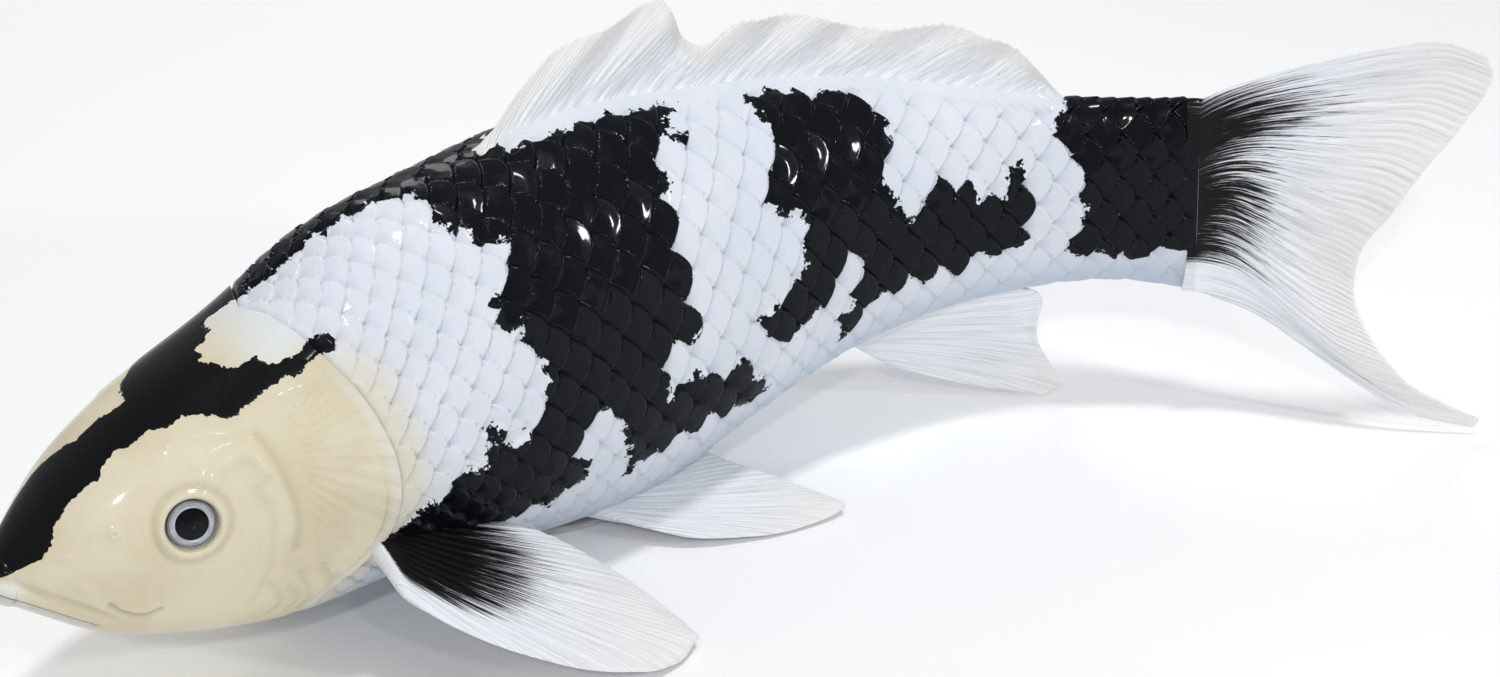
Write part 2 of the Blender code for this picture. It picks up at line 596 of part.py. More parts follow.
def make_body():
    clearance = GAP + FACET_ALLOWANCE
    behind = rim(RING_ANGLES) + 2 * GAP / BODY_LENGTH
    trunk = [skin(behind + (0.96 - behind) * q, RING_ANGLES, -clearance) for q in np.linspace(0, 1, 26)]
    head = snout_rings(clearance) + head_rings(-clearance, 0.0, HEAD_RINGS)
    envelope = loft("body_envelope", head + trunk)
    core = loft("body_core", full_rings(WALL / 2, 0.15, 0.99, 34))
    halves = {}
    for side, word in ((1, "left"), (-1, "right")):
        halves[side] = loft("body_shell_" + word, half_rings(side), "white", "strips")

    dorsal_weights = [[1 - row / 4] * 30 for row in range(5)]
    dorsal = blade("dorsal_fin", dorsal_rows(), dorsal_weights, BLADE, BLADE_EDGE, "fin")
    anal = blade("anal_fin", anal_rows(), [[1 - row / 8] * 12 for row in range(9)], BLADE, BLADE_EDGE, "fin")
    caudal = make_caudal()

    crossings = []
    for name, share in zip(("dorsal_pin_front", "dorsal_pin_rear"), DORSAL_PIN_SHARES):
        up = BODY_HEIGHT * float(smooth(share, SECTION_SHARES, BACK)) - PIN_DEPTH
        crossings.append((name, share, up, cross_reach(share, up), dorsal))
    up = PIN_DEPTH - BODY_HEIGHT * float(smooth(ANAL_PIN_SHARE, SECTION_SHARES, BELLY))
    crossings.append(("anal_pin", ANAL_PIN_SHARE, up, cross_reach(ANAL_PIN_SHARE, up), anal))
    for name, share, depth in SEAM_DOWELS:
        up = depth * BODY_HEIGHT * float(smooth(share, SECTION_SHARES, BELLY))
        crossings.append((name, share, up, None, None))

    for name, share, up, _, _ in crossings:
        for side, word in ((1, "left"), (-1, "right")):
            lug(halves[side], core, side, f"{name}_lug_{word}", share, up, cross_reach(share, up) + 3 * WALL)
    slots = (
        blade("dorsal_slot", dorsal_rows(GAP, False), np.ones((5, 30)), BLADE + 2 * GAP, BLADE + 2 * GAP),
        blade("anal_slot", anal_rows(GAP, False), np.ones((4, 12)), BLADE + 2 * GAP, BLADE + 2 * GAP),
    )
    for half in halves.values():
        for slot in slots:
            boolean(half, slot)
    for name, share, up, reach, fin in crossings:
        others = [*halves.values()] + ([fin] if fin else [])
        make_cross_dowel(name, share, up, reach or SEAM_DOWEL_HALF, others)
    for name, up in (("caudal_pin_upper", CAUDAL_PIN_HEIGHT), ("caudal_pin_lower", -CAUDAL_PIN_HEIGHT)):
        reach = cross_reach(CAUDAL_PIN_SHARE, up)
        make_cross_dowel(name, CAUDAL_PIN_SHARE, up, reach, [*halves.values(), caudal])
    for side, word in ((1, "left"), (-1, "right")):
        make_paired("pectoral", word, PECTORAL, side, envelope, halves[side], core)
        make_paired("pelvic", word, PELVIC, side, envelope, halves[side], core)
    make_pad(envelope)


clear_scene()
PARTS = collection("koi ornament")
CUTTERS = collection("cutters")
make_head()
make_sleeve()
make_body()
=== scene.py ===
"""The looks of the moulded koi ornament: scaled and lacquered skins, rayed fins and glass eyes.

A share is a place along the spine, 0 at the snout and 1 at the base of the tail fin. An angle runs round the
body from 0 on the back, through 90 on the left flank, to 180 under the belly, and is negative on the right.
"""

import math

import bpy
import numpy as np
from mathutils import Matrix, Vector


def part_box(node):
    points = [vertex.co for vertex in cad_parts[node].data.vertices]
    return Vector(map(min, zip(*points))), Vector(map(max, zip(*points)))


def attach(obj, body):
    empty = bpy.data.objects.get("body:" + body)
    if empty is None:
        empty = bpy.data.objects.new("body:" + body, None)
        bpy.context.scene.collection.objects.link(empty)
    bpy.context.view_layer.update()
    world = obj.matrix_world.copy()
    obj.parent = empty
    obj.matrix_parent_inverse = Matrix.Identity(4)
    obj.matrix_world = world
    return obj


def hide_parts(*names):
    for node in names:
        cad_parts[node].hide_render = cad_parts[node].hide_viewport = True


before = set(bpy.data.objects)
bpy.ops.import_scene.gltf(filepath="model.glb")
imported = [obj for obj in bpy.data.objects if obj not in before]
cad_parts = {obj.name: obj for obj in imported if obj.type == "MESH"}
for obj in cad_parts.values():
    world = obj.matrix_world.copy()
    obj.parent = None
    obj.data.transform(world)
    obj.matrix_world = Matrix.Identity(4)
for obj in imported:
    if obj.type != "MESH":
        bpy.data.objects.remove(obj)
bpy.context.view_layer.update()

# The body's form, as in the CAD part.
BODY_LENGTH = 0.300
BODY_HEIGHT = 0.0973
BODY_WIDTH = 0.0572
HEADING_SHARES = (0, 0.2, 0.4, 0.6, 0.8, 1.0, 1.22)
TURN = (13, 8, 11.5, 0.5, -21.5, -48, -37)
CLIMB = (-1.5, 1, 4.5, 6.5, 2, 3.5, 7)
SECTION_SHARES = (0, 0.05, 0.10, 0.18, 0.26, 0.36, 0.48, 0.60, 0.72, 0.84, 0.94, 1.0)
BACK = (0.048, 0.181, 0.271, 0.370, 0.483, 0.519, 0.524, 0.457, 0.373, 0.283, 0.257, 0.262)
BELLY = (0.062, 0.188, 0.257, 0.323, 0.339, 0.411, 0.476, 0.398, 0.311, 0.249, 0.228, 0.251)
FLANK = (0.21, 0.57, 0.748, 0.888, 0.916, 1.0, 1.0, 0.885, 0.664, 0.42, 0.262, 0.157)
FULLNESS = 0.9
SNOUT_LENGTH = 0.0035
WALL = 0.0025
GAP = 0.0003
RIM_ANGLES = (0, 45, 66, 84, 107, 129, 151, 180)
RIM_SHARES = (0.19, 0.219, 0.237, 0.246, 0.235, 0.195, 0.182, 0.176)
GILL_FLARE = 0.0010
GILL_START = 0.72
RIM_OVERLAP = 0.018
JAW_LENGTH = 0.0155
MOUTH_FRONT = -0.0035
MOUTH_SLOPE = -35
EYE_SHARE = 0.102
EYE_ANGLE = 74
EYE_RADIUS = 0.0048
PUPIL_RADIUS = 0.0032
IRIS_HOLE = PUPIL_RADIUS + 0.00005
EYE_FLOOR = -0.0022
PAD_SHARE = 0.463
PAD_LENGTH = 0.034
PAD_WIDTH = 0.018
PAD_RINGS = (
    (0.5, 0.0), (0.96, 0.0), (0.99, 0.0003), (1.0, 0.0008), (0.985, 0.0014), (0.93, 0.0018), (0.5, 0.0016),
)
SPINE_END = 1.3

# Fins, as in the CAD part.
DORSAL_SHARES = (0.395, 0.413, 0.437, 0.475, 0.54, 0.567, 0.577, 0.582, 0.64, 0.70, 0.72, 0.813, 0.857, 0.89)
DORSAL_HEIGHTS = (
    0.0, 0.003, 0.008, 0.0142, 0.0196, 0.0221, 0.0218, 0.0178, 0.0162, 0.0158, 0.014, 0.0157, 0.0109, 0.0,
)
ANAL_ROOT = (0.70, 0.86)
ANAL_LEADING = ((0, 0.0, 0.0), (0.35, 0.016, 0.015), (0.6, 0.032, 0.0244), (1, 0.0535, 0.0325))
ANAL_TRAILING = (
    (0, 0.0, 0.0), (0.3, 0.005, 0.006), (0.5, 0.0035, 0.014), (0.75, 0.006, 0.021), (1, 0.0105, 0.0285),
)
CAUDAL_LENGTH = 0.067
CAUDAL_UPPER = (
    (0, 0.0), (0.05, 0.0018), (0.25, 0.0069), (0.45, 0.0103), (0.66, 0.0128), (0.85, 0.0134), (1, 0.009),
)
CAUDAL_LOWER = (
    (0, 0.0), (0.07, 0.0018), (0.22, 0.0062), (0.38, 0.0142), (0.59, 0.0257), (0.75, 0.0335), (1, 0.0394),
)
CAUDAL_FORK = (
    (0, 0.98), (0.04, 1.0), (0.17, 0.90), (0.29, 0.755), (0.40, 0.65), (0.46, 0.585), (0.555, 0.55),
    (0.62, 0.552), (0.70, 0.593), (0.77, 0.652), (0.875, 0.776), (0.94, 0.91), (0.98, 0.99), (1, 0.97),
)
PECTORAL = dict(
    share=0.235, angle=114, points=(0.74, 0.51, -0.44), faces=(0.23, 0.43, 0.88), root=0.0042,
    outline=(
        (-0.006, 0.001, 0.012), (0.0, -0.006, 0.0145), (0.004, -0.0113, 0.0155), (0.011, -0.0146, 0.0162),
        (0.024, -0.0176, 0.0170), (0.035, -0.0181, 0.0174), (0.045, -0.0172, 0.0145),
        (0.054, -0.0142, 0.0102), (0.0625, -0.0098, 0.0056), (0.067, -0.0050, 0.0028),
        (0.0687, -0.0012, 0.0010),
    ),
    bow=0.0020,
)
PELVIC = dict(
    share=0.44, angle=152, points=(0.84, 0.52, -0.17), faces=(0.01, 0.31, 0.95), root=0.0036,
    outline=(
        (-0.006, -0.001, 0.006), (0.0, -0.003, 0.009), (0.003, -0.0041, 0.011), (0.011, -0.0072, 0.015),
        (0.0174, -0.009, 0.0174), (0.024, -0.0093, 0.0176), (0.029, -0.009, 0.0148),
        (0.037, -0.0081, 0.0106), (0.046, -0.0054, 0.0056), (0.052, -0.0028, 0.0024),
        (0.055, -0.0008, 0.0008),
    ),
    bow=0.0012,
)

# Scales: how long and how far apart their rows are along the body, in metres, and how proud they stand.
SCALE_SHARES = (0.17, 0.26, 0.34, 0.44, 0.62, 0.85, 1.0)
SCALE_PITCH = (0.0058, 0.0068, 0.0080, 0.0095, 0.0096, 0.0090, 0.0078)
SCALE_ROW = (0.0040, 0.0046, 0.0052, 0.0062, 0.0062, 0.0056, 0.0050)
SCALE_RISE = 0.0011
LATERAL_ANGLE = 84

# The black patches, as outlines of (share, angle).
BLAZE = (
    (-0.02, 60), (0.0, 58), (0.015, 57), (0.018, 52), (0.025, 48), (0.027, 40), (0.031, 34), (0.037, 29),
    (0.05, 27), (0.06, 28), (0.067, 24), (0.077, 21), (0.085, 24), (0.098, 24), (0.11, 29), (0.12, 29),
    (0.13, 33), (0.145, 41), (0.152, 41), (0.165, 39), (0.19, 39), (0.20, 42), (0.213, 40), (0.232, 43),
    (0.226, 36), (0.21, 34), (0.20, 35), (0.183, 31), (0.176, 25), (0.167, 24), (0.158, 22), (0.153, 16),
    (0.150, 10), (0.153, 4), (0.167, 0), (0.167, -9), (0.20, -12), (0.20, -36), (0.14, -34), (0.12, -20),
    (0.104, -8), (0.101, 0), (0.095, 1), (0.083, -3), (0.066, -4), (0.055, -12), (0.04, -24), (0.02, -34),
    (-0.02, -40),
)
BACK_BAND = (
    (0.155, -8), (0.19, -6), (0.21, -2), (0.25, -2), (0.30, 0), (0.325, 3), (0.345, 4), (0.40, 2),
    (0.40, -30), (0.33, -26), (0.28, -34), (0.22, -28), (0.17, -30),
)
SADDLE = (
    (0.331, -2), (0.331, 20), (0.334, 27), (0.345, 28), (0.349, 35), (0.367, 37), (0.368, 43), (0.357, 47),
    (0.338, 53), (0.347, 60), (0.36, 61), (0.359, 66), (0.368, 74), (0.357, 84), (0.346, 89), (0.332, 90),
    (0.325, 84), (0.316, 83), (0.312, 91), (0.304, 95), (0.285, 97), (0.262, 103), (0.248, 107),
    (0.232, 111), (0.238, 120), (0.27, 128), (0.32, 124), (0.345, 121), (0.358, 124), (0.37, 118),
    (0.386, 120), (0.396, 115), (0.394, 108), (0.384, 105), (0.384, 100), (0.395, 96), (0.41, 95),
    (0.423, 99), (0.428, 107), (0.437, 113), (0.432, 124), (0.438, 127), (0.445, 121), (0.48, 119),
    (0.53, 119), (0.545, 122), (0.562, 127), (0.586, 127), (0.58, 120), (0.568, 115), (0.556, 105),
    (0.53, 104), (0.512, 99), (0.50, 98), (0.473, 100), (0.478, 90), (0.484, 87), (0.505, 86), (0.516, 83),
    (0.512, 77), (0.507, 74), (0.511, 67), (0.505, 57), (0.518, 55), (0.519, 49), (0.506, 47), (0.521, 42),
    (0.518, 36), (0.511, 33), (0.53, 28), (0.553, 29), (0.559, 24), (0.546, 22), (0.551, 17), (0.565, 8),
    (0.568, -2),
)
SECOND = (
    (0.619, 15), (0.622, 7), (0.632, 3), (0.643, 3), (0.652, 6), (0.657, 14), (0.666, 12), (0.677, 17),
    (0.69, 10), (0.701, 14), (0.72, 15), (0.724, 22), (0.733, 25), (0.734, 32), (0.73, 40), (0.735, 46),
    (0.733, 53), (0.722, 56), (0.728, 65), (0.736, 70), (0.742, 76), (0.763, 77), (0.768, 70), (0.776, 64),
    (0.787, 66), (0.797, 66), (0.806, 70), (0.81, 76), (0.82, 78), (0.836, 75), (0.841, 63), (0.85, 58),
    (0.857, 67), (0.859, 84), (0.856, 94), (0.862, 104), (0.845, 109), (0.825, 110), (0.81, 106),
    (0.797, 112), (0.783, 115), (0.77, 110), (0.745, 112), (0.737, 108), (0.72, 112), (0.695, 117),
    (0.68, 124), (0.664, 126), (0.672, 117), (0.67, 113), (0.69, 109), (0.683, 103), (0.695, 94),
    (0.698, 87), (0.676, 86), (0.66, 95), (0.65, 100), (0.635, 101), (0.615, 108), (0.60, 104),
    (0.585, 102), (0.577, 92), (0.60, 89), (0.628, 86), (0.632, 79), (0.643, 74), (0.635, 66), (0.615, 60),
    (0.604, 56), (0.61, 50), (0.625, 47), (0.627, 38), (0.63, 24),
)
TAIL_PATCH = (
    (0.898, -80), (0.893, -20), (0.892, 5), (0.889, 14), (0.882, 28), (0.88, 38), (0.884, 47), (0.898, 51),
    (0.90, 66), (0.908, 86), (0.90, 97), (0.904, 103), (0.893, 110), (0.887, 118), (0.90, 124),
    (0.918, 119), (0.933, 130), (0.943, 122), (0.95, 127), (0.97, 120), (1.05, 121), (1.05, -110),
    (0.93, -105),
)
FAR_BAND = (
    (0.33, 2), (0.43, 2), (0.44, -12), (0.45, -35), (0.47, -62), (0.44, -96), (0.40, -104), (0.38, -70),
    (0.345, -45),
)
FAR_SADDLE = (
    (0.60, -12), (0.72, -12), (0.73, -40), (0.70, -66), (0.72, -92), (0.66, -100), (0.63, -70), (0.61, -44),
)
METRES_PER_DEGREE = 0.00062

# How far the black reaches out along a fin, against the place across it from its leading edge.
CAUDAL_INK_PLACES = (0, 0.12, 0.3, 0.5, 0.66, 0.78, 0.86, 1)
CAUDAL_INK = (0.15, 0.47, 0.26, 0.29, 0.21, 0.15, -0.28, -0.6)
PAIRED_INK_PLACES = (0, 0.07, 0.15, 0.3, 0.6, 0.85, 1)
PAIRED_INK = (-0.6, -0.15, 0.22, 0.38, 0.44, 0.40, 0.26)

# How finely the skins are cut.
BODY_ROWS = 540
HALF_COLUMNS = 310
INNER_COLUMNS = 16
HEAD_ROWS = 330
HEAD_COLUMNS = 480

# The camera, from the fish's own frame.
VIEW_AZIMUTH = -31.8
VIEW_ELEVATION = 27.85
VIEW_ROLL = -0.3
VIEW_DISTANCE = 0.4816
VIEW_TARGET = (0.0279, -0.0293, 0.0498)
LENS = 52.1
SENSOR = 36.0

# The lights: name, place, size, watts and colour.
LIGHTS = (
    ("overhead", (0.05, -0.15, 1.0), (0.13, 0.09), 3.2, (1, 1, 1)),
    ("key", (-0.55, -0.80, 0.75), (0.05, 0.06), 2.4, (1.0, 0.98, 0.95)),
    ("side", (0.55, -0.85, 0.50), (0.05, 0.08), 1.8, (0.92, 0.96, 1.0)),
    ("front", (-0.15, -1.05, 0.85), (0.06, 0.04), 1.0, (1, 1, 1)),
    ("far_side", (0.2, 0.9, 0.7), (0.5, 0.3), 2.2, (1, 1, 1)),
)
LIGHT_TARGET = (0.03, -0.02, 0.05)
SKY_COLOUR = (0.95, 0.97, 1.0, 1)
SKY_STRENGTH = 0.46
FLOOR_HALF = 4.0


def smooth(at, places, values):
    """A cubic through the given values that never leaves their ends."""
    places = np.asarray(places, float)
    values = np.asarray(values, float)
    step = np.diff(places)
    rise = np.diff(values) / step
    inner = (rise[:-1] * step[1:] + rise[1:] * step[:-1]) / (step[:-1] + step[1:])
    slope = np.concatenate([rise[:1], inner, rise[-1:]])
    at = np.clip(at, places[0], places[-1])
    i = np.clip(np.searchsorted(places, at, side="right") - 1, 0, len(step) - 1)
    t = (at - places[i]) / step[i]
    start = (1 + 2 * t) * (1 - t) ** 2 * values[i] + t * (1 - t) ** 2 * step[i] * slope[i]
    end = t * t * (3 - 2 * t) * values[i + 1] + t * t * (t - 1) * step[i] * slope[i + 1]
    return start + end


def ease(value, start, end):
    """0 before the start, 1 after the end, and a smooth step between."""
    t = np.clip((value - start) / (end - start), 0, 1)
    return t * t * (3 - 2 * t)


def headings(share):
    """Unit vectors along, to the right of and above the spine."""
    turn = np.radians(np.interp(share, HEADING_SHARES, TURN))
    climb = np.radians(np.interp(share, HEADING_SHARES, CLIMB))
    along = np.stack([np.cos(turn) * np.cos(climb), np.sin(turn) * np.cos(climb), np.sin(climb)], -1)
    side = np.stack([-np.sin(turn), np.cos(turn), 0 * turn], -1)
    return along, side, np.cross(along, side)


SPINE_SHARES = np.linspace(0, SPINE_END, 600)
SPINE_STEPS = headings((SPINE_SHARES[1:] + SPINE_SHARES[:-1]) / 2)[0] * (SPINE_SHARES[1] * BODY_LENGTH)
SPINE_POINTS = np.concatenate([np.zeros((1, 3)), np.cumsum(SPINE_STEPS, axis=0)])


def place(share, right, up):
    """A point beside and above the spine, before the fish is set on its pad."""
    share, right, up = np.broadcast_arrays(np.asarray(share, float), right, up)
    along, side, above = headings(share)
    centre = np.stack([np.interp(share, SPINE_SHARES, SPINE_POINTS[:, k]) for k in range(3)], -1)
    beyond = np.minimum(share, 0)[..., None] * BODY_LENGTH * along
    return centre + beyond + side * right[..., None] + above * up[..., None]


def section(share, angle, inset=0.0):
    """How far right of and above the spine the skin lies, moved in by the inset."""
    angle = np.radians(angle)
    back = BODY_HEIGHT * smooth(share, SECTION_SHARES, BACK) - inset
    belly = BODY_HEIGHT * smooth(share, SECTION_SHARES, BELLY) - inset
    flank = BODY_WIDTH / 2 * smooth(share, SECTION_SHARES, FLANK) - inset
    reach = np.sign(np.sin(angle)) * np.abs(np.sin(angle)) ** FULLNESS
    return -flank * reach, np.cos(angle) * np.where(np.cos(angle) > 0, back, belly)


PAD_LOW, PAD_HIGH = (np.array(corner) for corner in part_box("belly_pad"))
SHELL_LOW = np.array(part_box("body_shell_left")[0])
PAD_CENTRE = place(PAD_SHARE, 0.0, 0.0)
BELLY_GRID = np.meshgrid(np.linspace(0.2, 0.8, 121), np.linspace(150, 180, 31))
BELLY_LOW = place(BELLY_GRID[0], *section(*BELLY_GRID))[..., 2].min()
LIFT = np.array([
    (PAD_LOW[0] + PAD_HIGH[0]) / 2 - PAD_CENTRE[0], (PAD_LOW[1] + PAD_HIGH[1]) / 2 - PAD_CENTRE[1],
    SHELL_LOW[2] - BELLY_LOW,
])


def at(share, right, up):
    return place(share, right, up) + LIFT


def skin(share, angle, inset=0.0):
    return at(share, *section(share, angle, inset))


def rim(angle):
    """The share at which the head ends."""
    return smooth(np.abs((np.asarray(angle, float) + 180) % 360 - 180), RIM_ANGLES, RIM_SHARES)


def gill_lift(share, angle):
    """How far the gill cover flares out, more and more towards the head's rear rim."""
    near_rim = np.clip((share / rim(angle) - GILL_START) / (1 - GILL_START), 0, 1)
    return GILL_FLARE * near_rim**2 * np.sin(np.radians(angle)) ** 2


def unit(vectors):
    return vectors / np.maximum(np.linalg.norm(vectors, axis=-1, keepdims=True), 1e-12)


def normals_of(points):
    """Unit normals of a grid of points."""
    return unit(np.cross(np.gradient(points, axis=1), np.gradient(points, axis=0)))


def round_normals(points):
    """Unit normals of a grid that closes on itself across its columns."""
    wrapped = np.concatenate([points[:, -2:-1], points, points[:, 1:2]], axis=1)
    across = (wrapped[:, 2:] - wrapped[:, :-2]) / 2
    return unit(np.cross(across, np.gradient(points, axis=0)))


def pointing_out(normals, points, centres):
    """The normals, reversed if they face the centres."""
    return normals if ((points - centres) * normals).sum() > 0 else -normals


def near(points, path):
    """Each point's distance to a line through (share, angle) places on the skin."""
    shares, angles = np.array(path, float).T
    steps = np.linspace(0, len(path) - 1, 6 * len(path))
    knots = np.arange(len(path))
    line = skin(smooth(steps, knots, shares), smooth(steps, knots, angles))
    best = np.full(points.shape[:-1], 1.0)
    for start, end in zip(line[:-1], line[1:]):
        step = end - start
        t = np.clip((points - start) @ step / (step @ step), 0, 1)
        best = np.minimum(best, np.linalg.norm(points - start - t[..., None] * step, axis=-1))
    return best


def hump(distance, width):
    return np.exp(-((distance / width) ** 2))


def inside(share, angle, outline):
    """Metres inside an outline of (share, angle) places, and negative outside it."""
    scale = np.array([BODY_LENGTH, METRES_PER_DEGREE])
    corners = np.array(outline, float) * scale
    x, y = share * scale[0], angle * scale[1]
    best = np.full(np.shape(x), 1.0)
    within = np.zeros(np.shape(x), bool)
    for (x0, y0), (x1, y1) in zip(corners, np.roll(corners, -1, axis=0)):
        dx, dy = x1 - x0, y1 - y0
        t = np.clip(((x - x0) * dx + (y - y0) * dy) / (dx * dx + dy * dy), 0, 1)
        best = np.minimum(best, np.hypot(x - x0 - t * dx, y - y0 - t * dy))
        crosses = (y0 > y) != (y1 > y)
        within ^= crosses & (x < x0 + (y - y0) * dx / (dy if dy else 1e-12))
    return np.where(within, best, -best)


def ink_at(share, angle, outlines):
    return np.max([inside(share, angle, outline) for outline in outlines], axis=0)


def facing_out(points, faces):
    """The faces, turned round if they enclose the points inside out."""
    quads = np.array([face for face in faces if len(face) == 4])
    first = points[quads[:, 0]]
    cross = np.cross(points[quads[:, 2]] - first, points[quads[:, 3]] - points[quads[:, 1]])
    middle = points[quads].mean(axis=1) - points.mean(axis=0)
    return faces if (middle * cross).sum() > 0 else [face[::-1] for face in faces]


def add_mesh(name, points, faces, finish, attributes, normals=None):
    """An object from a grid of points, riding on the part's one body."""
    points = points.reshape(-1, 3)
    faces = facing_out(points, faces)
    mesh = bpy.data.meshes.new(name)
    mesh.from_pydata(points.tolist(), [], faces)
    for key, values in attributes.items():
        layer = mesh.attributes.new(key, "FLOAT", "POINT")
        layer.data.foreach_set("value", np.asarray(values, np.float32).ravel())
    mesh.materials.append(finish)
    mesh.shade_smooth()
    if normals is not None:
        mesh.normals_split_custom_set_from_vertices(normals.reshape(-1, 3).tolist())
    obj = bpy.data.objects.new(name, mesh)
    bpy.context.scene.collection.objects.link(obj)
    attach(obj, "root")
    return obj


def ring_faces(rows, columns, close_rows=False):
    """Quads between rings of equal counts, each ring closed on itself."""
    i, j = np.meshgrid(np.arange(rows if close_rows else rows - 1), np.arange(columns), indexing="ij")
    k, m = (i + 1) % rows, (j + 1) % columns
    corners = (i * columns + j, k * columns + j, k * columns + m, i * columns + m)
    return np.stack(corners, -1).reshape(-1, 4).tolist()


def tube_faces(rows, columns):
    """The faces of a tube of rings, closed at both ends."""
    last = (rows - 1) * columns
    return ring_faces(rows, columns) + [list(range(columns)), list(range(last, last + columns))[::-1]]


def strip_caps(rows, columns):
    """Quads that close the first and the last of flat or C-shaped rings, from each point to its opposite."""
    faces = []
    for base, turned in ((0, False), ((rows - 1) * columns, True)):
        for j in range(columns // 2 - 1):
            face = [base + j, base + j + 1, base + columns - 2 - j, base + columns - 1 - j]
            faces.append(face[::-1] if turned else face)
    return faces


# Materials ------------------------------------------------------------------------------------------------


class Look:
    """A material's node tree, with short ways to add what these materials use."""

    def __init__(self, name, **sockets):
        self.material = bpy.data.materials.new(name)
        self.material.use_nodes = True
        self.tree = self.material.node_tree
        self.shader = self.tree.nodes["Principled BSDF"]
        for socket, value in sockets.items():
            self.shader.inputs[socket.replace("_", " ")].default_value = value

    def node(self, kind, **inputs):
        made = self.tree.nodes.new(kind)
        for key, value in inputs.items():
            self.feed(made, key.replace("_", " "), value)
        return made

    def feed(self, node, key, value):
        socket = node.inputs[int(key)] if str(key).isdigit() else node.inputs[key]
        if isinstance(value, bpy.types.NodeSocket):
            self.tree.links.new(value, socket)
        else:
            socket.default_value = value

    def attribute(self, name):
        made = self.tree.nodes.new("ShaderNodeAttribute")
        made.attribute_name = name
        return made.outputs["Fac"]

    def place(self):
        return self.tree.nodes.new("ShaderNodeTexCoord").outputs["Object"]

    def maths(self, operation, first, second):
        made = self.tree.nodes.new("ShaderNodeMath")
        made.operation = operation
        self.feed(made, 0, first)
        self.feed(made, 1, second)
        return made.outputs[0]

    def times(self, first, second):
        return self.maths("MULTIPLY", first, second)

    def vector(self, x, y, z=0.0):
        made = self.tree.nodes.new("ShaderNodeCombineXYZ")
        for k, value in enumerate((x, y, z)):
            self.feed(made, k, value)
        return made.outputs[0]

    def noise(self, where, scale, detail=3.0, rough=0.55):
        made = self.node("ShaderNodeTexNoise", Vector=where, Scale=scale, Detail=detail, Roughness=rough)
        return made.outputs["Fac"]

    def fade(self, value, start, end, low=0.0, high=1.0):
        made = self.tree.nodes.new("ShaderNodeMapRange")
        made.interpolation_type = "SMOOTHSTEP"
        keys = ("Value", "From Min", "From Max", "To Min", "To Max")
        for key, number in zip(keys, (value, start, end, low, high)):
            self.feed(made, key, number)
        return made.outputs["Result"]

    def mix(self, share, first, second):
        made = self.tree.nodes.new("ShaderNodeMix")
        made.data_type = "RGBA"
        for k, value in ((0, share), (6, first), (7, second)):
            self.feed(made, k, value)
        return made.outputs[2]

    def bump(self, height, distance, strength=1.0):
        made = self.node("ShaderNodeBump", Height=height, Distance=distance, Strength=strength)
        self.feed(self.shader, "Normal", made.outputs["Normal"])

    def set(self, socket, value):
        self.feed(self.shader, socket, value)


CREAM = (0.70, 0.64, 0.48, 1)
CREAM_DEEP = (0.62, 0.55, 0.39, 1)
WHITE = (0.66, 0.69, 0.76, 1)
# Painted shade: a darker blue-grey laid on the white towards the belly, where less light falls.
BELLY_SHADE = (0.44, 0.52, 0.63, 1)
# Painted shade: a blue-grey laid in each scale's front, where it tucks under the rear edge of the scale
# ahead.
SCALE_SHADE_COLOUR = (0.36, 0.42, 0.54, 1)
BLACK = (0.0015, 0.0017, 0.0022, 1)
FIN_WARM = (0.80, 0.78, 0.72, 1)
INK_BLUR = 0.00008


def ragged_ink(look, size):
    """How black the paint is: the drawn patches with a finely ragged edge."""
    where = look.place()
    coarse = look.maths("SUBTRACT", look.noise(where, 330.0, 4.0, 0.6), 0.5)
    small = look.maths("SUBTRACT", look.noise(where, 950.0, 3.0, 0.6), 0.5)
    ragged = look.maths("ADD", look.times(coarse, size), look.times(small, size * 0.4))
    edge = look.maths("ADD", look.attribute("ink"), ragged)
    return look.fade(edge, -INK_BLUR, INK_BLUR)


def head_finish():
    look = Look(
        "head_lacquer", Roughness=0.32, Specular_IOR_Level=0.08, Coat_Weight=0.24, Coat_Roughness=0.08
    )
    where = look.place()
    cream = look.mix(look.fade(look.noise(where, 55.0), 0.35, 0.7), CREAM, CREAM_DEEP)
    # Painted shade: the cream is darkened in the creases, the barbel fold, the dip round each eye and the
    # mouth's gap.
    cream = look.mix(look.attribute("crease_shade"), cream, (0.42, 0.35, 0.23, 1))
    pale = look.mix(look.attribute("pale"), cream, (0.70, 0.72, 0.72, 1))
    look.set("Base Color", look.mix(ragged_ink(look, 0.0042), pale, BLACK))
    look.bump(look.noise(where, 420.0, 4.0), 0.00009)
    return look.material


def body_finish():
    look = Look(
        "body_lacquer", Roughness=0.30, Specular_IOR_Level=0.04, Coat_Weight=0.25, Coat_Roughness=0.06
    )
    where = look.place()
    white = look.mix(look.fade(look.noise(where, 40.0), 0.35, 0.7), WHITE, (0.71, 0.73, 0.79, 1))
    # Painted shade: the white turns darker blue-grey towards the belly.
    white = look.mix(look.attribute("belly"), white, BELLY_SHADE)
    # Painted shade: blue-grey at each scale's front, under the edge of the scale ahead.
    white = look.mix(look.attribute("scale_shade"), white, SCALE_SHADE_COLOUR)
    white = look.mix(look.attribute("cream"), white, (0.70, 0.64, 0.47, 1))
    black = look.mix(look.noise(where, 90.0), BLACK, (0.003, 0.004, 0.008, 1))
    look.set("Base Color", look.mix(ragged_ink(look, 0.0052), white, black))
    look.bump(look.noise(where, 330.0, 5.0, 0.6), 0.00022)
    return look.material


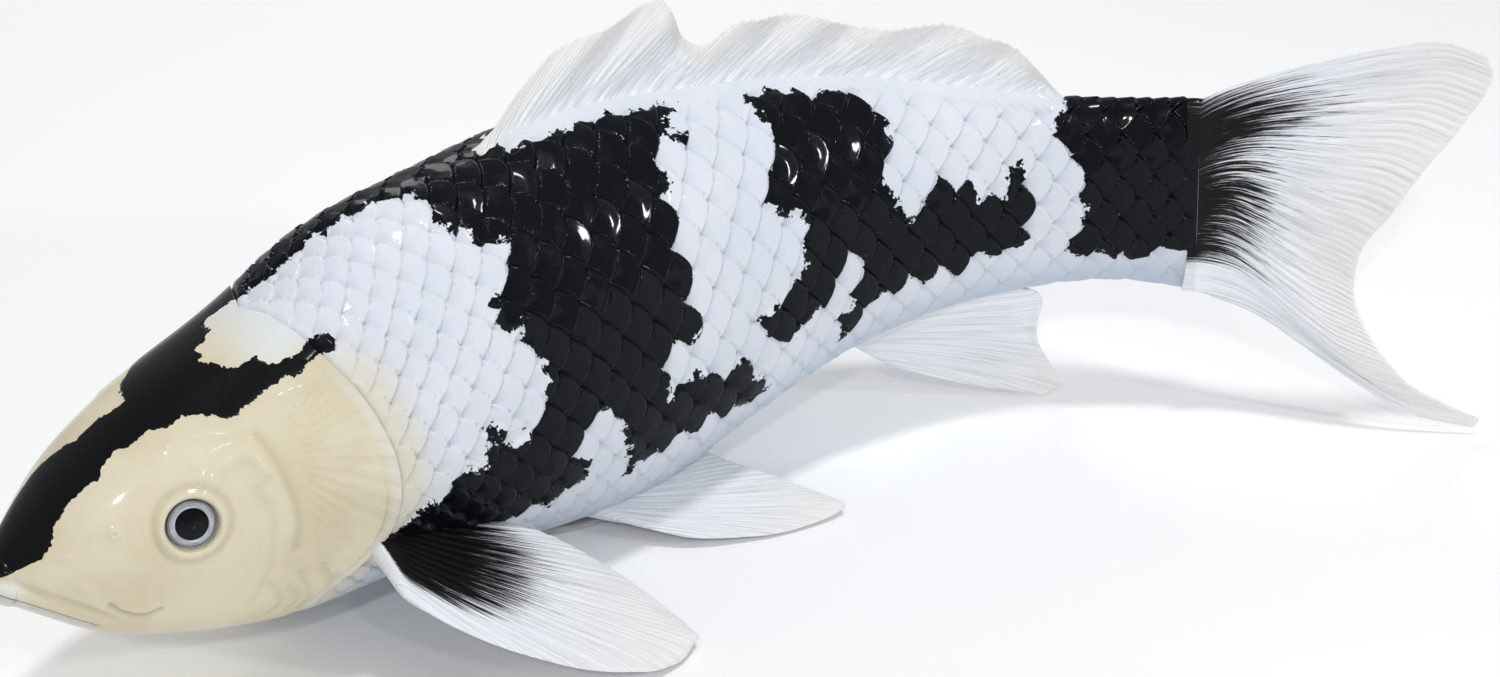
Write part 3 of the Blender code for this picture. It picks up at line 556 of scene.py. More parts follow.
def fin_finish():
    look = Look("fin_frosted", Roughness=0.36, Specular_IOR_Level=0.10, Coat_Weight=0.14, Coat_Roughness=0.12)
    ray, along = look.attribute("ray"), look.attribute("along")
    fine_rays = look.vector(look.times(ray, 9.0), look.times(along, 2.5))
    fibres = look.noise(fine_rays, 1.0, 4.0, 0.65)
    grey = look.mix(look.fade(fibres, 0.40, 0.72), (0.84, 0.86, 0.90, 1), (0.58, 0.60, 0.63, 1))
    tinted = look.mix(look.fade(along, 0.35, 1.0, 0.0, 0.55), grey, FIN_WARM)
    brush = look.vector(look.times(ray, 11.0), look.times(along, 2.2))
    streaks = look.noise(brush, 1.0, 6.0, 0.75)
    reach = look.times(look.maths("SUBTRACT", streaks, 0.5), 2.4)
    ink = look.fade(look.maths("ADD", look.attribute("ink"), reach), -0.11, 0.12)
    look.set("Base Color", look.mix(ink, tinted, (0.003, 0.002, 0.002, 1)))
    look.bump(fibres, 0.00018)
    return look.material


def lip_finish():
    look = Look("lip_lacquer", Roughness=0.34, Coat_Weight=0.5, Coat_Roughness=0.12)
    where = look.vector(look.times(look.attribute("ray"), 5.0), look.attribute("along"))
    lines = look.noise(where, 3.0, 4.0)
    tone = look.mix(look.fade(lines, 0.38, 0.66), (0.74, 0.73, 0.67, 1), (0.52, 0.51, 0.47, 1))
    look.set("Base Color", tone)
    look.bump(lines, 0.00020)
    return look.material


def iris_finish():
    look = Look("iris_silver", Metallic=0.10, Roughness=0.30)
    where = look.vector(look.times(look.attribute("along"), 30.0), look.attribute("ray"))
    rings = look.noise(where, 1.0, 3.0)
    tone = look.mix(look.fade(rings, 0.35, 0.65), (0.86, 0.88, 0.94, 1), (0.36, 0.39, 0.46, 1))
    rim_shade = look.fade(look.attribute("along"), 0.80, 1.0)
    look.set("Base Color", look.mix(rim_shade, tone, (0.10, 0.10, 0.11, 1)))
    look.bump(rings, 0.00008)
    return look.material


def pupil_finish():
    look = Look("pupil_black", Roughness=0.3, Specular_IOR_Level=0.0)
    tone = look.mix(look.noise(look.place(), 300.0), (0.001, 0.001, 0.002, 1), (0.003, 0.003, 0.005, 1))
    look.set("Base Color", tone)
    return look.material


def glass_finish():
    look = Look("clear_glass", Roughness=0.0, Transmission_Weight=1.0, IOR=1.2)
    tone = look.mix(look.noise(look.place(), 200.0), (0.97, 0.98, 1.0, 1), (0.99, 1.0, 1.0, 1))
    look.set("Base Color", tone)
    return look.material


def steel_finish():
    look = Look("dowel_steel", Metallic=1.0, Roughness=0.3)
    grain = look.noise(look.place(), 1500.0, 2.0)
    look.set("Base Color", look.mix(grain, (0.55, 0.55, 0.57, 1), (0.70, 0.70, 0.72, 1)))
    look.set("Roughness", look.fade(grain, 0.2, 0.8, 0.22, 0.42))
    return look.material


def resin_finish():
    look = Look("cast_resin", Roughness=0.6)
    grain = look.noise(look.place(), 250.0, 5.0)
    look.set("Base Color", look.mix(grain, (0.50, 0.47, 0.40, 1), (0.66, 0.62, 0.54, 1)))
    look.bump(grain, 0.0001)
    return look.material


def felt_finish():
    look = Look("felt_pad", Roughness=0.95, Sheen_Weight=0.5)
    fibres = look.noise(look.place(), 1600.0, 6.0, 0.75)
    look.set("Base Color", look.mix(fibres, (0.42, 0.42, 0.43, 1), (0.66, 0.66, 0.66, 1)))
    look.bump(fibres, 0.0003)
    return look.material


# The head -------------------------------------------------------------------------------------------------


def mouth_frame():
    """The mouth's front, and unit vectors along and out of the plane that parts the jaws."""
    along, side, above = headings(0.0)
    slope = math.radians(-MOUTH_SLOPE)
    back = along * math.cos(slope) - above * math.sin(slope)
    return at(0.0, 0.0, MOUTH_FRONT), back, along * math.sin(slope) + above * math.cos(slope)


def snout_grid(count, angles, grow=0.0):
    """Rings that round off the snout ahead of the spine's start, and their shares."""
    right, up = section(0.0, angles)
    rings, shares = [], []
    for turn in np.radians(np.linspace(4, 86, count)):
        share = -SNOUT_LENGTH / BODY_LENGTH * math.cos(turn)
        rings.append(at(share, right * math.sin(turn), up * math.sin(turn)))
        shares.append(np.full(len(angles), share))
    return np.array(rings), np.array(shares)


def eye_place(side):
    """The middle of the skin at an eye, and the way it faces."""
    centre = skin(EYE_SHARE, side * EYE_ANGLE)
    ahead = skin(EYE_SHARE + 0.02, side * EYE_ANGLE) - skin(EYE_SHARE - 0.02, side * EYE_ANGLE)
    round_ = skin(EYE_SHARE, side * EYE_ANGLE + 8) - skin(EYE_SHARE, side * EYE_ANGLE - 8)
    out = unit(np.cross(ahead, round_))
    return centre, out * np.sign(-side * (out @ headings(EYE_SHARE)[1]))


def head_relief(points, share, angle):
    """How far the head's features stand out of its plain form, and how strongly painted shade darkens its
    creases, 0 to 1.
    """
    high = np.zeros(share.shape)
    crease_shade = np.zeros(share.shape)
    for side in (1, -1):
        def path(*places):
            return near(points, [(s, side * a) for s, a in places])

        centre, out = eye_place(side)
        offset = points - centre
        far = np.linalg.norm(offset - (offset @ out)[..., None] * out, axis=-1)
        far = np.where(np.linalg.norm(offset, axis=-1) < 0.02, far, 1.0)
        high += 0.0006 * hump(far - 0.0060, 0.0009) - 0.0003 * hump(far - 0.0076, 0.0008)
        high -= 0.0024 * ease(far, 0.0054, 0.0048)
        # Painted shade in the dip round the eye's socket rim.
        crease_shade += 0.35 * hump(far - 0.0075, 0.0007)

        cheek = path((0.116, 64), (0.124, 58), (0.137, 55), (0.149, 57), (0.156, 65))
        crease = path((0.157, 52), (0.162, 60), (0.167, 71), (0.171, 86), (0.167, 98))
        second = path((0.146, 70), (0.153, 82), (0.151, 96), (0.146, 108), (0.136, 122))
        temple = path((0.105, 36), (0.125, 40), (0.146, 46), (0.18, 43), (0.21, 48))
        lip = path((0.034, 97), (0.038, 106), (0.045, 116), (0.055, 123), (0.064, 125))
        barbel = path((0.047, 111), (0.056, 118), (0.067, 121), (0.077, 117))
        barbel_top = path((0.053, 113), (0.060, 115), (0.068, 116))
        high += 0.0009 * hump(cheek, 0.0017) - 0.0005 * hump(crease, 0.0013)
        high += -0.0003 * hump(second, 0.0012) + 0.0003 * hump(temple, 0.0015)
        high += 0.0005 * hump(lip, 0.0014) - 0.0005 * hump(barbel, 0.0007) + 0.0004 * hump(barbel_top, 0.0012)
        # Painted shade in the cheek creases and along the barbel fold.
        crease_shade += 0.35 * hump(crease, 0.0008) + 0.15 * hump(second, 0.001) + 0.7 * hump(barbel, 0.0005)
        for spot, size, rise in (((0.056, 63), 0.0011, 0.0006), ((0.028, 68), 0.0008, 0.0003)):
            distance = np.linalg.norm(points - skin(spot[0], side * spot[1]), axis=-1)
            high += rise * hump(distance, size) - 0.9 * rise * hump(distance, size * 0.4)
        cover = np.linalg.norm(points - skin(0.203, side * 76), axis=-1)
        high += 0.0010 * hump(cover, 0.014)
        fan = np.degrees(np.arctan2((side * angle - 60) * 0.5, (share - 0.150) * 300))
        lines = np.sin(fan * 1.1) + 0.6 * np.sin(fan * 2.7 + 1.3) + 0.4 * np.sin(fan * 5.1)
        on_cover = ease(share, 0.172, 0.185) * ease(side * angle, 42, 50) * ease(side * angle, 135, 110)
        high += 0.00009 * lines * on_cover
        for k in range(5):
            start = 0.149 + 0.012 * k + 0.003 * math.sin(2.4 * k)
            top, foot = 113 + 5 * math.sin(1.9 * k), 138 - 3 * (k % 2)
            fold = path((start, top), (start + 0.009, 126), (start + 0.004, foot))
            high -= 0.0003 * hump(fold, 0.0009)
            # Painted shade in the folds under the gill cover.
            crease_shade += 0.25 * hump(fold, 0.0007)
    back = (rim(angle) - share) * BODY_LENGTH
    high += gill_lift(share, angle)
    high -= 0.00045 * ease(back, 0.0040, 0.0028) * ease(np.abs(angle), 35, 50)
    return high, np.clip(crease_shade, 0, 1)


def make_head(finish):
    angles = np.linspace(0, 360, HEAD_COLUMNS + 1)
    signed = (angles + 180) % 360 - 180
    snout, snout_shares = snout_grid(26, angles)
    q = np.linspace(0, 1, HEAD_ROWS)[:, None]
    q = 0.55 * q + 0.45 * q**2
    shares = rim(angles)[None, :] * q
    points = np.concatenate([snout, skin(shares, np.broadcast_to(angles, shares.shape))])
    shares = np.concatenate([snout_shares, shares])
    angle_grid = np.broadcast_to(signed, shares.shape)
    normals = pointing_out(round_normals(points), points, at(np.clip(shares, 0, 1), 0.0, 0.0))
    high, crease_shade = head_relief(points, shares, angle_grid)

    origin, back, above = mouth_frame()
    gape = (points - origin) @ above
    deep = (points - origin) @ back
    lips = ease(deep, JAW_LENGTH + 0.003, JAW_LENGTH - 0.002)
    high += lips * (0.0008 * hump(gape - 0.0014, 0.0010) - 0.0004 * hump(gape - 0.0034, 0.0008))
    # Painted shade in the mouth's gap and in the groove above the upper lip.
    crease_shade = np.clip(crease_shade + lips * (1.2 * hump(gape, 0.0006) + 0.3 * hump(gape - 0.0033, 0.0006)), 0, 1)
    ink = ink_at(shares, angle_grid, (BLAZE, BACK_BAND))
    high += 0.00010 * ease(ink, -0.0002, 0.0003)
    points = points + normals * high[..., None]
    gape = (points - origin) @ above
    deep = (points - origin) @ back
    push = np.where(deep < JAW_LENGTH, np.maximum(GAP / 2 - gape, 0), 0)
    points = points + push[..., None] * above

    end = rim(angles)
    folds = []
    for ahead, inset in ((0.0, 0.0004), (0.002, 0.0012), (0.012, 0.0022), (0.05, WALL), (0.11, WALL)):
        fold = end - ahead
        folds.append(skin(fold, angles, inset - gill_lift(fold, angles)))
    extra = np.array(folds)
    points = np.concatenate([points, extra])[:, :-1]
    rows, columns = points.shape[:2]
    faces = tube_faces(rows, columns)

    def padded(values, fill=0.0):
        return np.pad(values, ((0, len(extra)), (0, 0)), constant_values=fill)[:, :-1]

    back_from_rim = (end - shares) * BODY_LENGTH
    pale = ease(back_from_rim, 0.0030, 0.0010) * 0.45 * ease(np.abs(angle_grid), 40, 60)
    pale = np.maximum(pale, ease(shares, 0.150, 0.195) * ease(np.abs(angle_grid), 44, 26))
    pale = np.maximum(pale, 0.7 * ease(shares, 0.012, -0.004) * ease(np.abs(angle_grid), 60, 90))
    # The second attribute holds the painted shade of the head's creases and the mouth's gap.
    attributes = {"ink": padded(ink, -1.0), "crease_shade": padded(crease_shade), "pale": padded(pale, 0.8)}
    head = add_mesh("head_skin", points, faces, finish, attributes)
    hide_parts("head_shell")


def make_jaw(finish):
    """The lower jaw: the snout's form below the mouth, with a rolled lip and fine lines under it."""
    origin, back, above = mouth_frame()
    angles = np.linspace(0, 360, 361)
    shares = np.linspace(0, 0.12, 240)[:, None] + 0 * angles
    form = np.concatenate([snout_grid(40, angles)[0], skin(shares, np.broadcast_to(angles, shares.shape))])
    depths = np.maximum.accumulate((form - origin) @ back, axis=0)
    rings, lines = [], []
    for depth in np.linspace(depths[:, 180].min(), JAW_LENGTH - GAP, 90):
        cut = np.array([
            [np.interp(depth, depths[:, j], form[:, j, k]) for k in range(3)] for j in range(len(angles))
        ])
        gape = (cut - origin) @ above + GAP / 2
        if gape[180] > -0.0004:
            continue
        top = np.interp(0, -gape[:181], angles[:181])
        turns = np.linspace(top, 360 - top, 120)
        under = np.stack([np.interp(turns, angles, cut[:, k]) for k in range(3)], -1)
        outward = unit(under - under.mean(axis=0))
        low = (under - origin) @ above
        roll = 0.0009 * hump(low + 0.0016, 0.0011) - 0.0004 * hump(low + 0.0035, 0.0009)
        roll = roll - 0.0003 * hump(low, 0.0006)
        under = under + outward * (roll * ease(-low, 0.0, 0.0004))[:, None]
        chord = np.linspace(under[-1], under[0], 26)[1:-1]
        rings.append(np.concatenate([under, chord]))
        lines.append(np.concatenate([low, np.zeros(24)]) * 900)
    points = np.array(rings)
    rows, columns = points.shape[:2]
    faces = tube_faces(rows, columns)
    ray = np.array(lines)
    attributes = {"ray": ray, "along": np.linspace(0, 3, rows)[:, None] + 0 * ray}
    jaw = add_mesh("jaw_skin", points, faces, finish, attributes)
    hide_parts("lower_jaw")


def make_turned(name, profile, centre, out, finish, node, closed=False):
    """A solid of revolution from (radius, height) points, with its own rings and spokes as attributes."""
    turns = np.linspace(0, 2 * math.pi, 96, endpoint=False)
    side = unit(np.cross(out, (0, 0, 1.0)))
    up = np.cross(side, out)
    spokes = np.cos(turns)[:, None] * side + np.sin(turns)[:, None] * up
    points = np.array([centre + radius * spokes + height * out for radius, height in profile])
    rows, columns = points.shape[:2]
    faces = ring_faces(rows, columns, close_rows=True) if closed else tube_faces(rows, columns)
    reach = np.array([radius for radius, _ in profile])[:, None] / EYE_RADIUS
    attributes = {"along": reach + 0 * turns, "ray": 0 * reach + turns}
    made = add_mesh(name, points, faces, finish, attributes)
    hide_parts(node)


def make_eyes(iris_look, pupil_look, glass_look):
    for side, word in ((1, "left"), (-1, "right")):
        centre, out = eye_place(side)
        rings = np.linspace(EYE_RADIUS, IRIS_HOLE, 14)
        face = [(r, -0.0012 + 0.0009 * (EYE_RADIUS - r) / EYE_RADIUS) for r in rings]
        iris = [(IRIS_HOLE, EYE_FLOOR), (EYE_RADIUS, EYE_FLOOR)] + face
        make_turned("iris_ring_" + word, iris, centre, out, iris_look, "iris_" + word, True)
        turns = np.radians(np.linspace(90, 4, 10))
        pupil = [(PUPIL_RADIUS, EYE_FLOOR)] + [
            (PUPIL_RADIUS * math.sin(t), -0.0010 + 0.0003 * math.cos(t)) for t in turns
        ]
        make_turned("pupil_dot_" + word, pupil, centre, out, pupil_look, "pupil_" + word)
        turns = np.radians(np.linspace(90, 3, 20))
        outer = [(EYE_RADIUS * math.sin(t), -0.0004 + 0.0013 * math.cos(t)) for t in turns]
        inner = [(r * 0.96, h - 0.0003) for r, h in outer[::-1]]
        dome = outer + inner
        make_turned("eye_glass_" + word, dome, centre, out, glass_look, "cornea_" + word, True)


# The body -------------------------------------------------------------------------------------------------


def scale_tables():
    """Shares against how many scale lengths lie ahead of them."""
    shares = np.linspace(0.1, 1.1, 801)
    per_share = BODY_LENGTH / smooth(shares, SCALE_SHARES, SCALE_PITCH)
    return shares, np.concatenate([[0], np.cumsum((per_share[1:] + per_share[:-1]) / 2 * np.diff(shares))])


def scales(along, across):
    """The overlapping scales: their height, the distance to the rear edge, and offsets to the middle."""
    best = np.full(along.shape, 1e9)
    row_below = np.floor(across)
    to_edge, side, middle, owner = (np.zeros(along.shape) for _ in range(4))
    for row in (row_below, row_below + 1):
        t = across - row
        reach = 1 - 0.5 * np.abs(t) ** 1.9
        phase = 0.5 * (row % 2)
        front = np.ceil(along - phase - reach) + phase
        top = front < best
        best = np.where(top, front, best)
        to_edge = np.where(top, front + reach - along, to_edge)
        side = np.where(top, t, side)
        middle = np.where(top, front + 0.55 - along, middle)
        owner = np.where(top, 12.9898 * front + 78.233 * row, owner)
    lip = ease(to_edge, 0.0, 0.07)
    crown = 0.25 * (1 - side**2) * ease(to_edge, 0, 0.5) * ease(to_edge, 1.1, 0.4)
    height = (1 - to_edge) * (0.35 + 0.65 * lip) + crown
    tilt, turn = (np.mod(np.sin(owner * k) * 43758.5, 1) - 0.5 for k in (1.0, 1.7))
    height = height + 0.22 * tilt * side * lip + 0.20 * turn * (0.5 - to_edge) * lip
    return height, to_edge, side, middle


def make_body(finish):
    table_shares, table_counts = scale_tables()
    angles = np.linspace(0, 180, HALF_COLUMNS)
    start = rim(angles) - RIM_OVERLAP
    q = np.linspace(0, 1, BODY_ROWS)[:, None]
    shares = start + (1.0 - start) * q
    grid = np.broadcast_to(angles, shares.shape)
    for side, word in ((1, "left"), (-1, "right")):
        signed = side * grid
        points = skin(shares, signed)
        middle = at(shares, 0.0, 0.0)
        normals = pointing_out(normals_of(points), points, middle)
        seam_way = headings(shares[:, 0])[2]
        normals[:, 0] = seam_way
        normals[:, -1] = -seam_way
        steps = np.linalg.norm(np.diff(points, axis=1), axis=-1)
        girth = np.pad(np.cumsum(steps, axis=1), ((0, 0), (1, 0)))
        lateral = np.array([np.interp(LATERAL_ANGLE, angles, row) for row in girth])[:, None]
        row_size = smooth(shares, SCALE_SHARES, SCALE_ROW)
        across = (girth - lateral) / row_size + 0.1
        along = np.interp(shares, table_shares, table_counts) + 0.10 * np.abs(across / 10) ** 2
        height, to_edge, cross, offset = scales(along, across)

        past_rim = (shares - rim(grid)) * BODY_LENGTH
        base = np.maximum(0, 1 - girth / 0.0065) * ease(shares, 0.40, 0.43) * ease(shares, 0.895, 0.875)
        fin_root = ease(base, 0.0, 0.45)
        off_belly = 0.55 + 0.45 * ease(girth[:, -1:] - girth, 0.004, 0.02)
        strength = ease(past_rim, -0.001, 0.004) * (1 - fin_root) * off_belly
        strength = strength * (1 - 0.85 * ease(shares, 0.985, 1.0))
        pitch = smooth(shares, SCALE_SHARES, SCALE_PITCH)
        to_middle = offset * pitch / BODY_LENGTH
        per_degree = np.gradient(girth, axis=1) / np.gradient(grid, axis=1)
        turn_middle = -cross * row_size / np.maximum(per_degree, 1e-5)
        pull = 0.45 * ease(past_rim, 0.0, 0.006)
        ink_share, ink_angle = shares + pull * to_middle, signed + side * pull * turn_middle
        outlines = (BLAZE, BACK_BAND, SADDLE, SECOND, TAIL_PATCH, FAR_BAND, FAR_SADDLE)
        ink = ink_at(ink_share, ink_angle, outlines)
        root_edge = (girth - 0.0052 - 0.0006 * np.sin(shares * 260)) * 0.8
        covered = ease(shares, 0.405, 0.42) * ease(shares, 0.89, 0.87)
        ink = np.where(covered > 0.5, np.minimum(ink, root_edge), ink)

        black = ease(ink, -0.0002, 0.0004)
        lean = (shares * BODY_LENGTH - girth * 1.6) / 0.0030
        rays = 0.00022 * np.abs(np.sin(np.pi * lean)) * fin_root + 0.0016 * fin_root**2 * base
        high = SCALE_RISE * height * strength * (1 + 0.5 * black) + 0.00012 * black + rays
        high = high - 0.0012 * ease(past_rim, 0.0015, -0.0015)
        high = high - SCALE_RISE * strength
        outer = points + normals * high[..., None]
        shading = pointing_out(normals_of(outer), outer, middle)
        for column in (0, -1):
            edge, right = shading[:, column], headings(shares[:, column])[1]
            shading[:, column] = unit(edge - (edge * right).sum(-1, keepdims=True) * right)

        inner_angles = np.linspace(180, 0, INNER_COLUMNS)
        inner_start = rim(inner_angles) - RIM_OVERLAP
        inner_shares = inner_start + (1.0 - inner_start) * q
        inner = skin(inner_shares, side * np.broadcast_to(inner_angles, inner_shares.shape), WALL)
        ring = np.concatenate([outer, inner], axis=1)
        inward = unit(np.concatenate([shading, at(inner_shares, 0.0, 0.0) - inner], axis=1))
        rows, columns = ring.shape[:2]
        faces = ring_faces(rows, columns) + end_caps(rows, HALF_COLUMNS, INNER_COLUMNS)

        def filled(values, fill=0.0):
            values = np.broadcast_to(values, shares.shape)
            return np.pad(values, ((0, 0), (0, INNER_COLUMNS)), constant_values=fill)

        # Painted shade: how far the white darkens towards the belly.
        belly = ease(grid, 112, 150) * 0.75
        cream = 0.75 * ease(past_rim, 0.012, 0.001) * ease(grid, 30, 60)
        # Painted shade: how much each scale's front darkens under the edge of the scale ahead.
        scale_shade = (0.30 * ease(to_edge, 0.45, 1.0) + 0.55 * ease(to_edge, 0.84, 1.02)) * strength
        attributes = {
            "ink": filled(ink, -1.0), "belly": filled(belly),
            "cream": filled(cream), "scale_shade": filled(scale_shade),
        }
        body = add_mesh("body_skin_" + word, ring, faces, finish, attributes, inward)
        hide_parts("body_shell_" + word)


def end_caps(rows, outer, inner):
    """Faces across the wall at the body's two ends, between finely and coarsely cut edges."""
    faces = []
    columns = outer + inner
    for base, turned in ((0, False), ((rows - 1) * columns, True)):
        edges = np.round(np.linspace(0, outer - 1, inner)).astype(int)
        for k in range(inner - 1):
            low, high = edges[k], edges[k + 1]
            face = [base + j for j in range(low, high + 1)]
            face += [base + columns - 2 - k, base + columns - 1 - k]
            faces.append(face[::-1] if turned else face)
    return faces


# Fins: w runs across a blade from its leading edge, and r out from its root. -------------------------------


def make_fin(name, sheet, thick, ray, along, ink, finish, node, relief=0.00016):
    """A closed blade round a sheet of points, with raised rays on both faces."""
    normals = normals_of(sheet)
    split = ease(along, 0.30, 0.45)
    fine = ease(along, 0.62, 0.78)
    ridge = np.abs(np.cos(np.pi * ray))
    twos = np.abs(np.cos(np.pi * 2 * ray))
    fours = np.abs(np.cos(np.pi * 4 * ray))
    rays = (ridge * (1 - split) + twos * split) * (1 - fine) + fours * fine
    high = thick / 2 + relief * (rays - 0.5) * np.clip(thick / 0.0006, 0, 1) * ease(along, 0.0, 0.10)
    front = sheet + normals * high[..., None]
    back = sheet - normals * high[..., None]
    ring = np.concatenate([front, back[:, ::-1]], axis=1)
    rows, columns = ring.shape[:2]
    faces = ring_faces(rows, columns) + strip_caps(rows, columns)

    def both(values):
        values = np.broadcast_to(values, sheet.shape[:2])
        return np.concatenate([values, values[:, ::-1]], axis=1)

    attributes = {"ray": both(ray), "along": both(along), "ink": both(ink)}
    made = add_mesh(name, ring, faces, finish, attributes)
    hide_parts(node)


def edge_fade(share_across, share_along, margin):
    """1 over the blade and near 0 at its free edges, so that it thins there."""
    side = np.minimum(share_across, 1 - share_across)
    return np.clip(np.minimum(side / margin, (1 - share_along) / margin), 0.05, 1) ** 0.5


def make_dorsal(finish):
    w = np.linspace(0, 1, 700)[None, :]
    r = np.linspace(0, 1, 110)[:, None]
    first, last = DORSAL_SHARES[0], DORSAL_SHARES[-1]
    shares = first + (last - first) * w + 0 * r
    back = BODY_HEIGHT * smooth(shares, SECTION_SHARES, BACK)
    height = smooth(shares, DORSAL_SHARES, DORSAL_HEIGHTS)
    height = height * (1 - 0.02 * np.abs(np.sin(shares * 420)) * ease(shares, 0.58, 0.60))
    foot = -0.002
    up = foot + (height - foot) * r
    lean = (shares * BODY_LENGTH - 1.3 * up) / 0.0042
    wave = 0.0012 * ease(up, 0.0, 0.016) * np.sin(lean * 1.35 + 0.5 * np.sin(lean * 0.4))
    sheet = at(shares, wave, back + up)
    thick = (0.0011 - 0.0007 * r) * edge_fade(w, r, 0.02) + 0.0030 * np.exp(-np.maximum(up, 0) / 0.0012)
    ink = np.full(shares.shape, -1.0)
    make_fin("dorsal_blade", sheet, thick, lean, r + 0 * w, ink, finish, "dorsal_fin", 0.00030)


def make_caudal(finish):
    w = np.linspace(0, 1, 420)[None, :]
    r = np.linspace(-0.05, 1, 260)[:, None]
    fork, upper, lower = (np.array(table).T for table in (CAUDAL_FORK, CAUDAL_UPPER, CAUDAL_LOWER))
    notch = smooth(w, *fork)
    out = np.clip(r, 0, 1)
    reach = CAUDAL_LENGTH * r * notch
    ragged = 0.006 * np.sin(w * 310) * np.sin(w * 97) * ease(r, 0.9, 1.0)
    reach = reach * (1 - np.abs(ragged))
    top = BODY_HEIGHT * BACK[-1] - 0.0002 + smooth(out, *upper)
    bottom = -BODY_HEIGHT * BELLY[-1] + 0.0002 - smooth(out, *lower)
    ray = 15 * (w + 0.008 * np.sin(9 * w)) + 0 * r
    wave = 0.0010 * ease(r, 0.1, 0.9) * np.sin(ray * 0.9)
    shares = 1.0 + reach / BODY_LENGTH
    sheet = at(shares, wave, top + (bottom - top) * w)
    edge = edge_fade(w, out, 0.03)
    thick = (0.0012 - 0.0007 * out) * edge + 0.0070 * np.exp(-np.clip(reach, 0, 1) / 0.0045) * edge
    limit = smooth(w, CAUDAL_INK_PLACES, CAUDAL_INK) / np.maximum(notch, 0.5) * 0.75
    ink = (limit - r) * 1.15
    make_fin("caudal_blade", sheet, thick, ray, out + 0 * w, ink, finish, "caudal_fin", 0.00026)


def make_anal(finish):
    w = np.linspace(0, 1, 240)[None, :]
    r = np.linspace(-0.10, 1, 150)[:, None]
    leading, trailing = np.array(ANAL_LEADING).T, np.array(ANAL_TRAILING).T
    out = np.clip(r, 0, 1)
    first, last = ANAL_ROOT
    fore = first + smooth(out, leading[0], leading[1]) / BODY_LENGTH
    aft = last + smooth(out, trailing[0], trailing[1]) / BODY_LENGTH
    shares = fore + (aft - fore) * w
    down_fore, down_aft = smooth(out, leading[0], leading[2]), smooth(out, trailing[0], trailing[2])
    down = down_fore + (down_aft - down_fore) * w + np.minimum(r, 0) * 0.02
    fold = ease(w, 0.80, 0.95) * ease(r, 0.05, 0.25) * ease(r, 0.65, 0.4)
    x = (shares - 0.66) * BODY_LENGTH
    ray = 13 * np.arctan2(down + 0.004, x + 0.004)
    wave = 0.0008 * ease(r, 0.1, 0.8) * np.sin(ray * 1.1) + 0.0016 * fold
    sheet = at(shares, wave, -down - BODY_HEIGHT * smooth(shares, SECTION_SHARES, BELLY))
    edge = edge_fade(w, out, 0.03)
    thick = (0.0011 - 0.0006 * out) * edge + 0.0030 * np.exp(-np.maximum(down, 0) / 0.0015) * edge
    ink = np.full(ray.shape, -1.0)
    make_fin("anal_blade", sheet, thick, ray, out + 0 * w, ink, finish, "anal_fin", 0.00024)


def paired_frame(fin, side):
    """The root's front on the skin, and unit vectors along, across and out of the blade."""
    along, right, above = headings(fin["share"])
    axes = np.array([along, -side * right, above])
    points = unit(np.array(fin["points"]) @ axes)
    faces = np.array(fin["faces"]) @ axes
    faces = unit(faces - points * (faces @ points))
    return skin(fin["share"], side * fin["angle"]), points, np.cross(faces, points) * side, faces


def make_paired(name, word, fin, side, finish, spread, ink_limit):
    root, points, across, faces = paired_frame(fin, side)
    outline = np.array(fin["outline"]).T
    tip = outline[0][-1]
    w = np.linspace(0, 1, 260)[None, :]
    r = np.linspace(0, 1, 240)[:, None]
    far = outline[0][0] + (tip - outline[0][0]) * (0.6 * r + 0.4 * np.sin(r * math.pi / 2))
    lead, trail = (smooth(far, outline[0], edge) for edge in outline[1:])
    ray = spread * np.arctan2(lead + (trail - lead) * w, far + 0.022) * 10
    ragged = 1 - 0.012 * np.abs(np.sin(ray * math.pi * 2)) * ease(w, 0.75, 1.0)
    lateral = (lead + (trail - lead) * w) * ragged
    out = np.clip(far / tip, 0, 1)
    bow = fin["bow"] * (1 - (2 * w - 1) ** 2) * out + 0.0005 * np.sin(ray * 0.8) * ease(out, 0.2, 0.8)
    sheet = root + points * far[..., None] + across * lateral[..., None] + faces * bow[..., None]
    edge = edge_fade(w, out, 0.05)
    root_bulk = (fin["root"] - 0.001) * np.clip(1 - (far + 0.001) / 0.020, 0, 1) ** 1.5
    thick = (0.0011 - 0.0006 * out) * edge + root_bulk * edge
    ink = (smooth(w, PAIRED_INK_PLACES, PAIRED_INK) + ink_limit - out) * 2.0
    make_fin(f"{name}_blade_{word}", sheet, thick, ray, out + 0 * w, ink, finish, f"{name}_fin_{word}")


# Everything else ------------------------------------------------------------------------------------------


def make_pad(finish):
    """The felt pad: a rounded oval of pressed felt, a little uneven at its edge."""
    angles = np.linspace(0, 2 * math.pi, 160, endpoint=False)
    turn = math.radians(float(np.interp(PAD_SHARE, HEADING_SHARES, TURN)))
    middle = (PAD_LOW + PAD_HIGH) / 2
    size = (PAD_LENGTH / 2, PAD_WIDTH / 2)
    fuzz = 1 + 0.004 * np.sin(angles * 23) + 0.003 * np.sin(angles * 41 + 1)
    rings = []
    for inward, height in PAD_RINGS:
        x = size[0] * inward * fuzz * np.cos(angles)
        y = size[1] * inward * fuzz * np.sin(angles)
        spin = (x * math.cos(turn) - y * math.sin(turn), x * math.sin(turn) + y * math.cos(turn))
        rings.append(np.stack([middle[0] + spin[0], middle[1] + spin[1], np.full(len(angles), height)], -1))
    points = np.array(rings)
    rows, columns = points.shape[:2]
    faces = tube_faces(rows, columns)
    pad = add_mesh("felt_oval", points, faces, finish, {})
    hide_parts("belly_pad")


def dress(names, finish):
    """A procedural material on CAD nodes that are shown as they are."""
    for name in names:
        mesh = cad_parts[name].data
        mesh.materials.clear()
        mesh.materials.append(finish)


